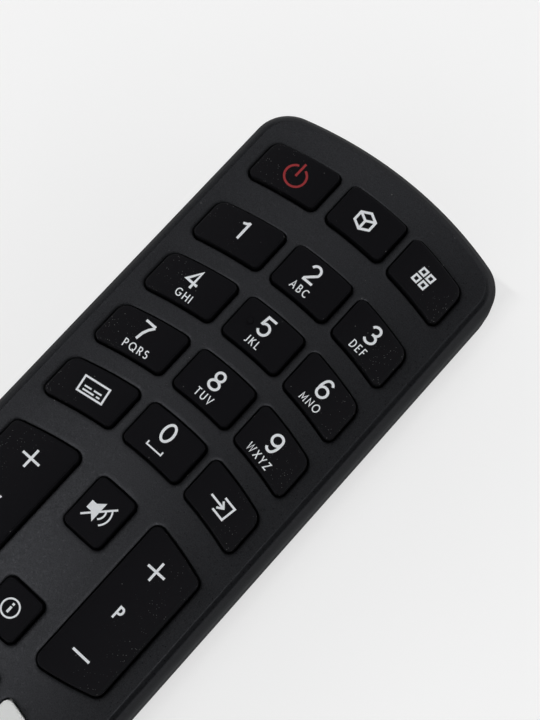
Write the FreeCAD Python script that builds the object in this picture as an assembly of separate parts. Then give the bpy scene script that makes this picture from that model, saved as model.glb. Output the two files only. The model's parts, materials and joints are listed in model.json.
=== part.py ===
import FreeCAD
import Part
import math
import os

Vector = FreeCAD.Vector

# Case: length along Y towards the infrared end, width along X, resting on its belly at Z = 0
case_length = 205.0
case_width = 50.0
end_bow_radius = 62.0
corner_radius = 7.2
smallest_round = 0.5
parting_height = 13.8
waist_height = 9.0
waist_lean = 0.3
side_lean = 1.9
belly_edge_height = 3.0
belly_edge_width = 2.6
side_wall = 1.8
floor_thickness = 1.6
top_wall = 1.75
ceiling_flat = 8.0
top_side_slope = 0.03
face_height = 18.46
face_hollow_radius = 146.0
shoulder_bevel = 1.35

# Joint between the two shells
shadow_line_height = 0.45
tongue_inset = 1.0
tongue_height = 1.0
tongue_clearance = 0.15
snap_count = 3
snap_pitch = 58.0
snap_length = 6.0
snap_reach = 0.4
snap_height = 0.7
snap_clearance = 0.1

# Keys: rows are counted from the infrared end and bow towards it
key_gap = 0.33
key_rise = 1.12
key_travel = 0.8
row_bow_radius = 59.0
key_corner = 0.7
outer_key_corner = 2.2
rounding_starts = 1.4
centre_key_half_width = 5.95
side_key_inner = 7.93
side_key_margin = 4.38
key_length = 7.92
power_row_inset = 11.08
digit_row_inset = 24.94
row_pitch = 11.845

# Two long rockers, with the mute and information keys between them
rocker_inset = 70.29
rocker_length = 29.94
rocker_inner = 7.86
rocker_margin = 3.81
rocker_corners = (0.85, 4.4, 1.05, 1.2)
middle_key_half_width = 3.98
mute_inset = 70.82
mute_length = 9.84
info_inset = 91.9
info_length = 8.2
middle_bow_radius = 106.0
rocker_lean = 0.39

# Lower keys
menu_row_inset = 104.7
menu_key_length = 8.0
menu_centre_rise = 0.6
menu_half_width = 7.2
white_key_inner = 9.3
pad_centre_inset = 135.5
pad_radius = 17.5
pad_key_inner = 8.3
pad_spoke_gap = 1.9
ok_half_width = 6.3
ok_corner = 2.6
pad_key_corner = 0.6
colour_row_inset = 160.6
colour_key_width = 7.9
colour_key_length = 5.0
colour_key_pitch = 10.3
media_row_inset = 171.6
media_key_width = 11.0
media_key_length = 6.6
media_key_pitch = 13.9

# Board, keypad sheet and key skirts, stacked over the battery bay
cell_radius = 5.25
cell_length = 44.5
cell_terminal_radius = 1.9
cell_terminal_length = 0.9
cell_gap = 0.3
cell_clearance = 0.25
bay_roof = 1.0
bay_wall = 1.2
board_thickness = 1.0
board_clearance = 0.4
sheet_thickness = 1.0
sheet_margin = 3.4
press_clearance = 0.1
skirt_side_lip = 0.15
skirt_end_lip = 0.8
skirt_clearance = 0.15
window_clearance = 0.3
rocker_skirt_gap = 0.85
rocker_skirt_thickness = 0.7
fulcrum_half_width = 0.6
fulcrum_gap = 0.15

# Battery bay and its sliding door
bay_end_inset = 6.0
contact_thickness = 0.4
contact_half_width = 3.9
contact_height = 9.0
contact_tail_half_width = 1.1
spring_reach = 3.9
spring_half_width = 2.2
spring_thickness = 0.3
contact_gap = 0.1
door_half_width = 17.3
door_gap = 0.2
door_front_gap = 3.0
door_end_height = 9.0
ledge_width = 1.3
ledge_height = 0.75
hook_reach = 2.4
hook_thickness = 0.7
hook_clearance = 0.15
hook_half_width = 2.4
hook_place = 11.6
grip_grooves = 5
grip_groove_radius = 0.9
grip_groove_depth = 0.35
grip_groove_pitch = 2.0
grip_half_width = 7.0
grip_inset = 12.0

# Ribs under the board
rib_thickness = 1.2
rib_first_inset = 20.0
rib_pitch = 27.0
rib_notch_half_width = 8.0
rib_notch_depth = 6.0

# Infrared window and lamp
window_half_width = 8.0
window_sill = 8.0
window_fit = 0.1
window_flange = 1.5
window_flange_thickness = 1.0
lamp_radius = 2.5
lamp_board_gap = 0.35
lamp_length = 8.6
lamp_inset = 5.2
lamp_lead_spacing = 2.54
lamp_lead_width = 0.5
lamp_lead_reach = 3.0
lead_clearance = 0.15

# Parts on the board's underside
chip_inset = 60.5
chip_width = 4.0
chip_length = 9.6
chip_height = 1.9
chip_leads = 7
chip_lead_pitch = 1.27
chip_lead_width = 0.45
chip_lead_reach = 1.4
chip_lead_thickness = 0.3
crystal_place = (12.5, 62.0)
crystal_size = (4.5, 8.0, 3.6)
capacitor_place = (-13.5, 36.0)
capacitor_radius = 2.5
capacitor_height = 8.0
transistor_place = (9.0, 30.0)
transistor_size = (4.6, 3.6, 4.6)
resistor_size = (1.25, 2.0, 0.5)
resistor_place = (-16.0, 58.0)
resistor_pitch = 3.2
resistor_count = 4

# Levels worked out from the stack
infrared_end = case_length / 2
battery_end = -case_length / 2
cell_height = floor_thickness + cell_clearance + cell_radius
roof_height = cell_height + cell_radius + cell_clearance
board_seat = roof_height + bay_roof
board_top = board_seat + board_thickness
sheet_top = board_top + sheet_thickness
skirt_low = board_top + key_travel + press_clearance
skirt_high = face_height - top_wall - skirt_clearance
face_axis = face_height + face_hollow_radius
side_key_outer = case_width / 2 - side_key_margin
rocker_outer = case_width / 2 - rocker_margin
row_bow = 1 / (2 * row_bow_radius)
middle_bow = 1 / (2 * middle_bow_radius)
above_case = face_height + 3 * shoulder_bevel + key_rise
bevel_growth = 2 - math.sqrt(2)


def from_tip(inset):
    return infrared_end - inset


def box(x_low, x_high, y_low, y_high, z_low, z_high):
    corner = Vector(x_low, y_low, z_low)
    return Part.makeBox(x_high - x_low, y_high - y_low, z_high - z_low, corner)


def post(radius, x, y, z_low, z_high):
    return Part.makeCylinder(radius, z_high - z_low, Vector(x, y, z_low))


def both_sides(shape):
    """The shape and its mirror image across the case's middle plane."""
    return [shape, shape.mirror(Vector(0, 0, 0), Vector(1, 0, 0))]


def hollow(radius):
    """The round tool that hollows the face, or the key tops a little above it."""
    reach = case_length
    tool = Part.makeCylinder(radius, 2 * reach, Vector(0, -reach, face_axis), Vector(0, 1, 0))
    tool.rotate(Vector(0, 0, face_axis), Vector(0, 1, 0), 90)
    return tool


def ceiling():
    """The tool that leaves the upper shell's wall: three flats that follow the hollow face."""
    radius = face_hollow_radius + top_wall
    reach = case_width / 2
    flat_level = face_axis - math.sqrt(radius ** 2 - ceiling_flat ** 2)
    side_level = face_axis - math.sqrt(radius ** 2 - reach ** 2)
    half = [(ceiling_flat, flat_level), (reach, side_level), (reach, above_case)]
    points = [Vector(x, battery_end, z) for x, z in half]
    points += [Vector(-x, battery_end, z) for x, z in reversed(half)]
    return Part.Face(Part.makePolygon(points + points[:1])).extrude(Vector(0, case_length, 0))


# The case's outline in plan

def case_outline(inset, height):
    """Straight sides, bowed ends and round corners, set in from the widest outline."""
    half_width = case_width / 2 - inset
    end_radius = end_bow_radius - inset
    round_radius = max(corner_radius - inset, smallest_round)
    bow_centre = case_length / 2 - end_bow_radius
    round_x = half_width - round_radius
    round_y = bow_centre + math.sqrt((end_radius - round_radius) ** 2 - round_x ** 2)
    angle = math.atan2(round_y - bow_centre, round_x)
    meet = Vector(end_radius * math.cos(angle), bow_centre + end_radius * math.sin(angle), height)
    middle = Vector(round_x + round_radius * math.cos(angle / 2),
                    round_y + round_radius * math.sin(angle / 2), height)
    side = Vector(half_width, round_y, height)
    tip = Vector(0, bow_centre + end_radius, height)

    def flipped(point, x_sign, y_sign):
        return Vector(x_sign * point.x, y_sign * point.y, point.z)

    def arc(a, b, c, x_sign, y_sign):
        points = [flipped(point, x_sign, y_sign) for point in (a, b, c)]
        return Part.Arc(*points).toShape()

    def line(a, b):
        return Part.LineSegment(a, b).toShape()

    left_meet = flipped(meet, -1, 1)
    low_meet = flipped(meet, 1, -1)
    return Part.Wire([
        line(flipped(side, 1, -1), side),
        arc(side, middle, meet, 1, 1),
        Part.Arc(meet, tip, left_meet).toShape(),
        arc(meet, middle, side, -1, 1),
        line(flipped(side, -1, 1), flipped(side, -1, -1)),
        arc(side, middle, meet, -1, -1),
        Part.Arc(flipped(meet, -1, -1), flipped(tip, 1, -1), low_meet).toShape(),
        arc(meet, middle, side, 1, -1),
    ])


def case_slab(inset, low, high):
    face = Part.Face(case_outline(inset, low))
    return face.extrude(Vector(0, 0, high - low))


def top_form(inset):
    """The upper half's drafted form, still flat on top."""
    rise = above_case - parting_height
    top = inset + top_side_slope * rise
    return Part.makeLoft([case_outline(inset, parting_height), case_outline(top, above_case)],
                         True, True)


def lower_inset(height):
    """How far the lower half is drawn in: little to the waist, more below it, most at the belly."""
    if height >= waist_height:
        return waist_lean * (parting_height - height) / (parting_height - waist_height)
    if height >= belly_edge_height:
        share = (waist_height - height) / (waist_height - belly_edge_height)
        return waist_lean + (side_lean - waist_lean) * share
    return side_lean + belly_edge_width * (belly_edge_height - height) / belly_edge_height


def bottom_form(inset, floor):
    """The lower half's form from a floor level up to the parting line."""
    levels = (floor, belly_edge_height, waist_height, parting_height)
    outlines = [case_outline(inset + lower_inset(level), level) for level in levels]
    return Part.makeLoft(outlines, True, True)


# Keys in plan

class BowedKey:
    """A key between two sides, which may lean out at the top, and two ends, y = end - bow * x * x."""

    def __init__(self, x_span, y_span, bows, corners, leans=(0, 0)):
        self.x_low, self.x_high = x_span
        self.y_low, self.y_high = y_span
        self.bow_low, self.bow_high = bows
        self.corners = corners
        self.lean_left, self.lean_right = leans

    def low_point(self, x, grow):
        return Vector(x, self.y_low - grow - self.bow_low * x * x, 0)

    def high_point(self, x, grow):
        return Vector(x, self.y_high + grow - self.bow_high * x * x, 0)

    def corner_points(self, grow_x, grow_y):
        left = self.x_low - grow_x
        right = self.x_high + grow_x
        return [self.high_point(left - self.lean_left, grow_y),
                self.high_point(right + self.lean_right, grow_y),
                self.low_point(right - self.lean_right, grow_y),
                self.low_point(left + self.lean_left, grow_y)]

    def middle(self):
        points = self.corner_points(0, 0)
        return Vector(sum(p.x for p in points) / 4, sum(p.y for p in points) / 4, 0)

    def prism(self, grow, low, high):
        """The key's own outline, grown evenly, with its corners taken off."""
        x_middle = (self.x_low + self.x_high) / 2
        top_left, top_right, low_right, low_left = self.corner_points(grow, grow)
        top_middle = self.high_point(x_middle, grow)
        low_middle = self.low_point(x_middle, grow)
        outline = Part.Wire([
            bowed_edge(top_left, top_middle, top_right),
            Part.LineSegment(top_right, low_right).toShape(),
            bowed_edge(low_right, low_middle, low_left),
            Part.LineSegment(low_left, top_left).toShape(),
        ])
        blank = Part.Face(outline).extrude(Vector(0, 0, high - low))
        blank.translate(Vector(0, 0, low))
        for point, size in zip((top_left, top_right, low_right, low_left), self.corners):
            blank = soften_upright(blank, point, size, grow)
        return blank

    def skirt(self, grow_x, grow_y, low, high):
        """A four-sided plate under the key, through its grown corners."""
        points = self.corner_points(grow_x, grow_y)
        plate = Part.Face(Part.makePolygon(points + points[:1])).extrude(Vector(0, 0, high - low))
        plate.translate(Vector(0, 0, low))
        return plate


class PadKey:
    """A key of the direction pad: a piece of a disc between two spokes."""

    def __init__(self, turn):
        self.turn = turn
        self.centre = Vector(0, from_tip(pad_centre_inset), 0)

    def placed(self, shape):
        shape.translate(self.centre)
        shape.rotate(self.centre, Vector(0, 0, 1), self.turn)
        return shape

    def middle(self):
        reach = (pad_radius + pad_key_inner) / 2
        point = Part.Vertex(Vector(0, reach, 0))
        return self.placed(point).Point

    def wedge(self, inner, outer, spoke_gap, low, high):
        points = [Vector(-inner + spoke_gap, inner, low), Vector(inner - spoke_gap, inner, low),
                  Vector(outer - spoke_gap, outer, low), Vector(-outer + spoke_gap, outer, low)]
        face = Part.Face(Part.makePolygon(points + points[:1]))
        return face.extrude(Vector(0, 0, high - low))

    def prism(self, grow, low, high):
        spoke_gap = pad_spoke_gap - grow * math.sqrt(2)
        wedge = self.wedge(pad_key_inner - grow, pad_radius + pad_key_inner, spoke_gap, low, high)
        disc = post(pad_radius + grow, 0, 0, low, high)
        blank = disc.common(wedge)
        uprights = [edge for edge in blank.Edges if is_upright(edge)]
        return self.placed(blank.makeChamfer(pad_key_corner + grow * bevel_growth, uprights))

    def skirt(self, grow_x, grow_y, low, high):
        """A straight-edged plate under the key, with a lip beyond its bowed edge."""
        spoke_gap = pad_spoke_gap - grow_x * math.sqrt(2)
        inner = pad_key_inner - grow_x
        corner = (math.sqrt(2 * pad_radius ** 2 - pad_spoke_gap ** 2) - pad_spoke_gap) / 2
        outer = corner + grow_x
        half = [Vector(inner - spoke_gap, inner, low), Vector(outer, outer + spoke_gap, low),
                Vector(outer, corner + pad_spoke_gap + grow_y, low),
                Vector(corner / 2, pad_radius + grow_y, low)]
        points = half + [Vector(-point.x, point.y, low) for point in reversed(half)]
        face = Part.Face(Part.makePolygon(points + points[:1]))
        return self.placed(face.extrude(Vector(0, 0, high - low)))


def bowed_edge(start, middle, end):
    """An arc through three points, or a line where they are in a row."""
    sag = (middle - (start + end) / 2).Length
    if sag < key_gap / 100:
        return Part.LineSegment(start, end).toShape()
    return Part.Arc(start, middle, end).toShape()


def is_upright(edge):
    bounds = edge.BoundBox
    return bounds.ZLength > key_gap and bounds.XLength + bounds.YLength < key_gap / 100


def soften_upright(blank, point, size, grow):
    """Rounds the upright edge at a corner where it is large, and bevels it where it is small."""
    def distance(edge):
        foot = edge.Vertexes[0].Point
        return math.hypot(foot.x - point.x, foot.y - point.y)
    uprights = [edge for edge in blank.Edges if is_upright(edge)]
    corner = [min(uprights, key=distance)]
    if size > rounding_starts:
        return blank.makeFillet(size + grow, corner)
    return blank.makeChamfer(size + grow * bevel_growth, corner)


def row_keys(names, inset, length):
    """One row of three keys, its ends on the same two bows."""
    y_middle = from_tip(inset)
    span = (y_middle - length / 2, y_middle + length / 2)
    outer = side_key_outer
    bows = (row_bow, row_bow)
    left, centre, right = names
    small = key_corner
    large = outer_key_corner
    return {
        left: BowedKey((-outer, -side_key_inner), span, bows, (large, small, small, small)),
        centre: BowedKey((-centre_key_half_width, centre_key_half_width), span, bows, (small,) * 4),
        right: BowedKey((side_key_inner, outer), span, bows, (small, large, small, small)),
    }


def middle_key(inset, length):
    y_high = from_tip(inset)
    corners = (key_corner,) * 4
    return BowedKey((-middle_key_half_width, middle_key_half_width), (y_high - length, y_high),
                    (-middle_bow, middle_bow), corners)


def menu_keys():
    """The row under the rockers: a wide centre key between two shorter white ones."""
    top = from_tip(menu_row_inset)
    low = top - menu_key_length
    outer = side_key_outer
    small = key_corner
    large = outer_key_corner
    bows = (row_bow, row_bow)
    return {
        "key_white_left": BowedKey((-outer, -white_key_inner), (low, top), bows,
                                   (large, small, small, small)),
        "key_menu": BowedKey((-menu_half_width, menu_half_width), (low, top + menu_centre_rise),
                             bows, (small,) * 4),
        "key_white_right": BowedKey((white_key_inner, outer), (low, top), bows,
                                    (small, large, small, small)),
    }


def small_key(x, inset, width, length):
    y_middle = from_tip(inset)
    return BowedKey((x - width / 2, x + width / 2), (y_middle - length / 2, y_middle + length / 2),
                    (0, 0), (key_corner,) * 4)


def all_keys():
    keys = {}
    keys.update(row_keys(("key_power", "key_cube", "key_grid"), power_row_inset, key_length))
    digits = [("key_1", "key_2", "key_3"), ("key_4", "key_5", "key_6"),
              ("key_7", "key_8", "key_9"), ("key_captions", "key_0", "key_source")]
    for row, names in enumerate(digits):
        keys.update(row_keys(names, digit_row_inset + row * row_pitch, key_length))
    keys["key_mute"] = middle_key(mute_inset, mute_length)
    keys["key_info"] = middle_key(info_inset, info_length)
    keys.update(menu_keys())
    pad_y = from_tip(pad_centre_inset)
    keys["key_ok"] = BowedKey((-ok_half_width, ok_half_width),
                              (pad_y - ok_half_width, pad_y + ok_half_width), (0, 0), (ok_corner,) * 4)
    for name, turn in (("key_up", 0), ("key_left", 90), ("key_down", 180), ("key_right", 270)):
        keys[name] = PadKey(turn)
    for place, name in enumerate(("key_red", "key_green", "key_yellow", "key_blue")):
        x = (place - 1.5) * colour_key_pitch
        keys[name] = small_key(x, colour_row_inset, colour_key_width, colour_key_length)
    for place, name in enumerate(("key_rewind", "key_play", "key_forward")):
        x = (place - 1) * media_key_pitch
        keys[name] = small_key(x, media_row_inset, media_key_width, media_key_length)
    return keys


def all_rockers():
    """The volume rocker on the left mirrors the channel rocker on the right."""
    y_high = from_tip(rocker_inset)
    span = (y_high - rocker_length, y_high)
    outer = rocker_outer
    inner_top, outer_top, outer_low, inner_low = rocker_corners
    bows = (-row_bow, row_bow)
    return {
        "rocker_volume": BowedKey((-outer, -rocker_inner), span, bows,
                                  (outer_top, inner_top, inner_low, outer_low), (rocker_lean, 0)),
        "rocker_channel": BowedKey((rocker_inner, outer), span, bows,
                                   (inner_top, outer_top, outer_low, inner_low), (0, rocker_lean)),
    }


# Solids of the keys

def key_solid(key):
    """Cap through the case over a wider skirt, which stops under the case and meets the board."""
    cap = key.prism(0, skirt_low, above_case).cut(hollow(face_hollow_radius - key_rise))
    skirt = key.skirt(skirt_side_lip, skirt_end_lip, skirt_low, skirt_high)
    return cap.fuse(skirt).removeSplitter()


def rocker_solid(key):
    """A long cap over a thin skirt that leaves room to rock both ways."""
    low = board_top + rocker_skirt_gap
    cap = key.prism(0, low, above_case).cut(hollow(face_hollow_radius - key_rise))
    skirt = key.skirt(skirt_side_lip, skirt_end_lip, low, low + rocker_skirt_thickness)
    return cap.fuse(skirt).removeSplitter()


# Shells

def snap_wedges(grow):
    """Small wedges along both straight sides, where the lower shell's tongue snaps in."""
    face = case_width / 2 - tongue_inset
    low = parting_height + tongue_clearance
    root = face - (side_wall - tongue_inset) / 2
    wedges = []
    for number in range(snap_count):
        y = (number - (snap_count - 1) / 2) * snap_pitch - snap_length / 2 - grow
        points = [Vector(root, y, low - grow), Vector(face, y, low - grow),
                  Vector(face + snap_reach + grow, y, low + snap_height / 2),
                  Vector(face, y, low + snap_height + grow), Vector(root, y, low + snap_height + grow)]
        profile = Part.Face(Part.makePolygon(points + points[:1]))
        wedges += both_sides(profile.extrude(Vector(0, snap_length + 2 * grow, 0)))
    return wedges


def top_case(openings):
    """Moulded upper shell: hollow face, bevelled shoulder, drafted sides and a hole for each key."""
    form = top_form(0).cut(hollow(face_hollow_radius))
    crown = [edge for edge in form.Edges if edge.BoundBox.ZMin > face_height - shoulder_bevel]
    form = form.makeChamfer(shoulder_bevel, crown)
    inside = top_form(side_wall).cut(ceiling())
    groove_top = parting_height + tongue_height + tongue_clearance
    groove = case_slab(tongue_inset - tongue_clearance, parting_height, groove_top)
    return form.cut([inside, groove] + snap_wedges(snap_clearance) + openings).removeSplitter()


def bay_ends():
    """Inner faces of the battery bay's two end walls."""
    low = battery_end + bay_end_inset + bay_wall
    spare = 2 * contact_thickness + spring_reach + 2 * contact_gap
    return low, low + cell_length + spare


def bay_half_width():
    return 2 * cell_radius + cell_gap / 2 + cell_clearance


def door_front():
    """The door's edge, just past the end of the bay."""
    return bay_ends()[1] + door_front_gap


def door_outline(gap):
    """The block that the door fills in the lower case, stepped where it rides on two ledges."""
    half = door_half_width + gap
    narrow = door_half_width - ledge_width + gap
    end = battery_end - bay_wall
    front = door_front() + gap
    upper = box(-half, half, end, front, ledge_height + door_gap - gap, door_end_height + gap)
    lower = box(-narrow, narrow, end, front, -floor_thickness, door_end_height + gap)
    return upper.fuse(lower)


def bulkhead_place():
    return door_front() + hook_reach


def rib_places():
    """Ribs from the infrared end down, as many as fit before the bay's bulkhead."""
    first = from_tip(rib_first_inset)
    count = math.floor((first - bulkhead_place() - bay_wall) / rib_pitch) + 1
    return [first - number * rib_pitch for number in range(count)]


def battery_bay():
    """Walls, roof and side decks of the cell pocket, open only towards the door."""
    low, high = bay_ends()
    half = bay_half_width()
    deck_low = floor_thickness + hook_thickness + 2 * hook_clearance
    outside = case_width / 2
    block = box(-half - bay_wall, half + bay_wall, low - bay_wall, high + bay_wall,
                deck_low, board_seat)
    far = bulkhead_place() + bay_wall
    decks = box(-outside, outside, low, far, deck_low, deck_low + bay_wall)
    bulkhead = box(-outside, outside, bulkhead_place(), far, floor_thickness, board_seat)
    pocket = box(-half, half, low, high, 0, roof_height)
    return block.fuse([decks, bulkhead]).cut(pocket)


def board_ribs():
    """Cross ribs that carry the board, notched in the middle for the parts under it."""
    notch_low = board_seat - rib_notch_depth
    ribs = []
    for y in rib_places():
        rib = box(-case_width / 2, case_width / 2, y - rib_thickness / 2, y + rib_thickness / 2,
                  0, board_seat)
        notch = box(-rib_notch_half_width, rib_notch_half_width, y - rib_thickness,
                    y + rib_thickness, notch_low, board_seat)
        ribs.append(rib.cut(notch))
    return ribs


def bottom_case():
    """Moulded lower shell with the battery bay, board ribs, tongue and the window's notch."""
    form = bottom_form(0, 0)
    inside = bottom_form(side_wall, floor_thickness)
    reach = bottom_form(side_wall / 2, floor_thickness / 2)
    shell = form.cut([inside, door_outline(door_gap)])
    shell = shell.fuse([piece.common(reach) for piece in board_ribs() + [battery_bay()]])
    tail_slots = [tail_box(x, contact_gap) for x in cell_places()]
    shadow_low = parting_height - shadow_line_height
    shadow = case_slab(-tongue_inset, shadow_low, parting_height)
    shadow = shadow.cut(case_slab(tongue_inset, shadow_low, parting_height))
    shell = shell.cut(tail_slots + [window_block(0), shadow])
    tongue_high = parting_height + tongue_height
    tongue = case_slab(tongue_inset, parting_height, tongue_high)
    tongue = tongue.cut(case_slab(side_wall, parting_height, tongue_high))
    window_gap = window_block(0)
    window_gap.translate(Vector(0, 0, tongue_height))
    tongue = tongue.cut(window_gap)
    return shell.fuse([tongue] + snap_wedges(0)).removeSplitter()


def door():
    """Sliding cover: stepped belly panel, end wall, front hooks and a grooved grip."""
    panel = bottom_form(0, 0).cut(bottom_form(side_wall, floor_thickness))
    panel = panel.common(door_outline(0))
    hook_low = floor_thickness + hook_clearance
    hook_high = hook_low + hook_thickness
    hook_start = door_front() - door_front_gap / 2
    hook_end = bulkhead_place() - hook_clearance
    left = hook_place - hook_half_width
    right = hook_place + hook_half_width
    root = box(left, right, hook_start, door_front(), floor_thickness / 2, hook_high)
    hook = box(left, right, hook_start, hook_end, hook_low, hook_high)
    panel = panel.fuse(both_sides(root.fuse(hook)))
    grooves = []
    for number in range(grip_grooves):
        y = battery_end + grip_inset + number * grip_groove_pitch
        centre = Vector(-grip_half_width, y, grip_groove_depth - grip_groove_radius)
        grooves.append(Part.makeCylinder(grip_groove_radius, 2 * grip_half_width, centre,
                                         Vector(1, 0, 0)))
    return panel.cut(grooves).removeSplitter()


# Battery cells and contacts

def cell_places():
    return (-cell_radius - cell_gap / 2, cell_radius + cell_gap / 2)


def cell(x, terminal_side):
    """One cell, its raised terminal towards +Y or -Y, pressed up to the flat contact there."""
    low, high = bay_ends()
    stop = contact_thickness + contact_gap
    body_length = cell_length - cell_terminal_length
    if terminal_side > 0:
        tip = high - stop
    else:
        tip = low + stop
    start = Vector(x, tip - terminal_side * cell_terminal_length, cell_height)
    towards = Vector(0, -terminal_side, 0)
    body = Part.makeCylinder(cell_radius, body_length, start, towards)
    terminal = Part.makeCylinder(cell_terminal_radius, cell_length, Vector(x, tip, cell_height),
                                 towards)
    return body.fuse(terminal).removeSplitter()


def contact_plate(x_low, x_high, wall, side):
    """A flat sheet-metal plate against the bay's end wall."""
    low = cell_height - contact_height / 2
    high = cell_height + contact_height / 2
    faces = sorted((wall, wall + side * contact_thickness))
    return box(x_low, x_high, faces[0], faces[1], low, high)


def bowed_spring(x, wall, side):
    """A bowed leaf that presses on the flat end of a cell."""
    root = wall + side * contact_thickness
    crest = root + side * spring_reach
    half = contact_height / 2 - spring_thickness
    low = Vector(x - spring_half_width, root, cell_height - half)
    top = Vector(x - spring_half_width, crest, cell_height)
    high = Vector(x - spring_half_width, root, cell_height + half)
    inner = [Vector(low.x, root, low.z + spring_thickness),
             Vector(low.x, crest - side * spring_thickness, cell_height),
             Vector(low.x, root, high.z - spring_thickness)]
    band = Part.Wire([
        Part.Arc(low, top, high).toShape(),
        Part.LineSegment(high, inner[2]).toShape(),
        Part.Arc(inner[2], inner[1], inner[0]).toShape(),
        Part.LineSegment(inner[0], low).toShape(),
    ])
    return Part.Face(band).extrude(Vector(2 * spring_half_width, 0, 0))


def tail_box(x, grow):
    """The solder tail at the bay's inner end, up through the roof and the board."""
    wall = bay_ends()[1]
    return box(x - contact_tail_half_width - grow, x + contact_tail_half_width + grow,
               wall - contact_thickness - grow, wall + grow, cell_height, board_top)


def positive_contact():
    x = cell_places()[0]
    plate = contact_plate(x - contact_half_width, x + contact_half_width, bay_ends()[1], -1)
    return plate.fuse(tail_box(x, 0)).removeSplitter()


def negative_contact():
    x = cell_places()[1]
    plate = contact_plate(x - contact_half_width, x + contact_half_width, bay_ends()[1], -1)
    return plate.fuse([tail_box(x, 0), bowed_spring(x, bay_ends()[1], -1)]).removeSplitter()


def bridge_contact():
    low_x, high_x = cell_places()
    plate = contact_plate(low_x - contact_half_width, high_x + contact_half_width, bay_ends()[0], 1)
    return plate.fuse(bowed_spring(low_x, bay_ends()[0], 1)).removeSplitter()


# Board and keypad sheet

def board_end():
    """The board and the sheet end a margin past the last row of keys."""
    last_row = from_tip(media_row_inset) - media_key_length / 2
    return last_row - sheet_margin


def inner_slab(clearance, low, high):
    """A slab inside the tongue, cut off at the board's end."""
    slab = case_slab(side_wall + clearance, low, high)
    keep = box(-case_width, case_width, board_end(), infrared_end, low, high)
    return slab.common(keep)


def circuit_board():
    """The board, with slots for the contacts' tails and the lamp's leads."""
    board = inner_slab(board_clearance, board_seat, board_top)
    slots = [tail_box(x, contact_gap) for x in cell_places()]
    slots += [lamp_lead(x, lead_clearance) for x in lamp_lead_places()]
    return board.cut(slots)


def keypad_sheet(keys, rockers):
    """A rubber sheet with a window round each key's skirt and a bar under each rocker."""
    sheet = inner_slab(2 * board_clearance, board_top, sheet_top)
    grow_x = skirt_side_lip + window_clearance
    grow_y = skirt_end_lip + window_clearance
    everything = list(keys.values()) + list(rockers.values())
    sheet = sheet.cut([key.skirt(grow_x, grow_y, board_top, sheet_top) for key in everything])
    bars = []
    for key in rockers.values():
        y = key.middle().y
        bars.append(box(key.x_low - grow_x - window_clearance, key.x_high + grow_x + window_clearance,
                        y - fulcrum_half_width, y + fulcrum_half_width, board_top,
                        board_top + rocker_skirt_gap - fulcrum_gap))
    return sheet.fuse(bars).removeSplitter()


# Infrared window and lamp

def window_block(fit):
    return box(-window_half_width + fit, window_half_width - fit, 0, infrared_end + side_wall,
               window_sill + fit, parting_height - fit)


def infrared_window():
    """A flush pane in the end wall with a thin flange behind it."""
    pane = bottom_form(0, 0).cut(bottom_form(side_wall + window_fit, 0))
    pane = pane.common(window_block(window_fit))
    flange = bottom_form(side_wall + window_fit, 0)
    flange = flange.cut(bottom_form(side_wall + window_fit + window_flange_thickness, 0))
    reach = window_half_width + window_flange
    block = box(-reach, reach, 0, infrared_end, window_sill - window_flange,
                board_seat - window_fit)
    return pane.fuse(flange.common(block)).removeSplitter()


def lamp_axis():
    return board_seat - lamp_radius - lamp_board_gap


def lamp_lead_places():
    return (-lamp_lead_spacing / 2, lamp_lead_spacing / 2)


def lamp_lead_end():
    return from_tip(lamp_inset) - lamp_length - lamp_lead_reach


def lamp_lead(x, grow):
    """The upright end of a lead, through the board."""
    half = lamp_lead_width / 2 + grow
    y = lamp_lead_end()
    return box(x - half, x + half, y - half, y + half, lamp_axis() - half, board_top)


def infrared_lamp():
    """A lamp behind the window, its leads bent up into the board."""
    tip = from_tip(lamp_inset)
    height = lamp_axis()
    back = tip - lamp_length
    barrel = Part.makeCylinder(lamp_radius, lamp_length, Vector(0, back, height), Vector(0, 1, 0))
    half = lamp_lead_width / 2
    runs = [box(x - half, x + half, lamp_lead_end(), back, height - half, height + half)
            for x in lamp_lead_places()]
    uprights = [lamp_lead(x, 0) for x in lamp_lead_places()]
    return barrel.fuse(runs + uprights).removeSplitter()


# Parts under the board

def hanging_box(place, size):
    x, inset = place
    width, length, height = size
    y = from_tip(inset)
    return box(x - width / 2, x + width / 2, y - length / 2, y + length / 2,
               board_seat - height, board_seat)


def controller_chip():
    y = from_tip(chip_inset)
    body_top = board_seat - chip_lead_thickness
    body = box(-chip_width / 2, chip_width / 2, y - chip_length / 2, y + chip_length / 2,
               board_seat - chip_height, body_top)
    leads = []
    for number in range(chip_leads):
        place = y + (number - (chip_leads - 1) / 2) * chip_lead_pitch
        leads.append(box(-chip_width / 2 - chip_lead_reach, chip_width / 2 + chip_lead_reach,
                         place - chip_lead_width / 2, place + chip_lead_width / 2,
                         board_seat - 2 * chip_lead_thickness, board_seat))
    return body.fuse(leads).removeSplitter()


def capacitor():
    x, inset = capacitor_place
    return post(capacitor_radius, x, from_tip(inset), board_seat - capacitor_height, board_seat)


def chip_resistors():
    x, inset = resistor_place
    return Part.Compound([hanging_box((x, inset + number * resistor_pitch), resistor_size)
                          for number in range(resistor_count)])


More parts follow.
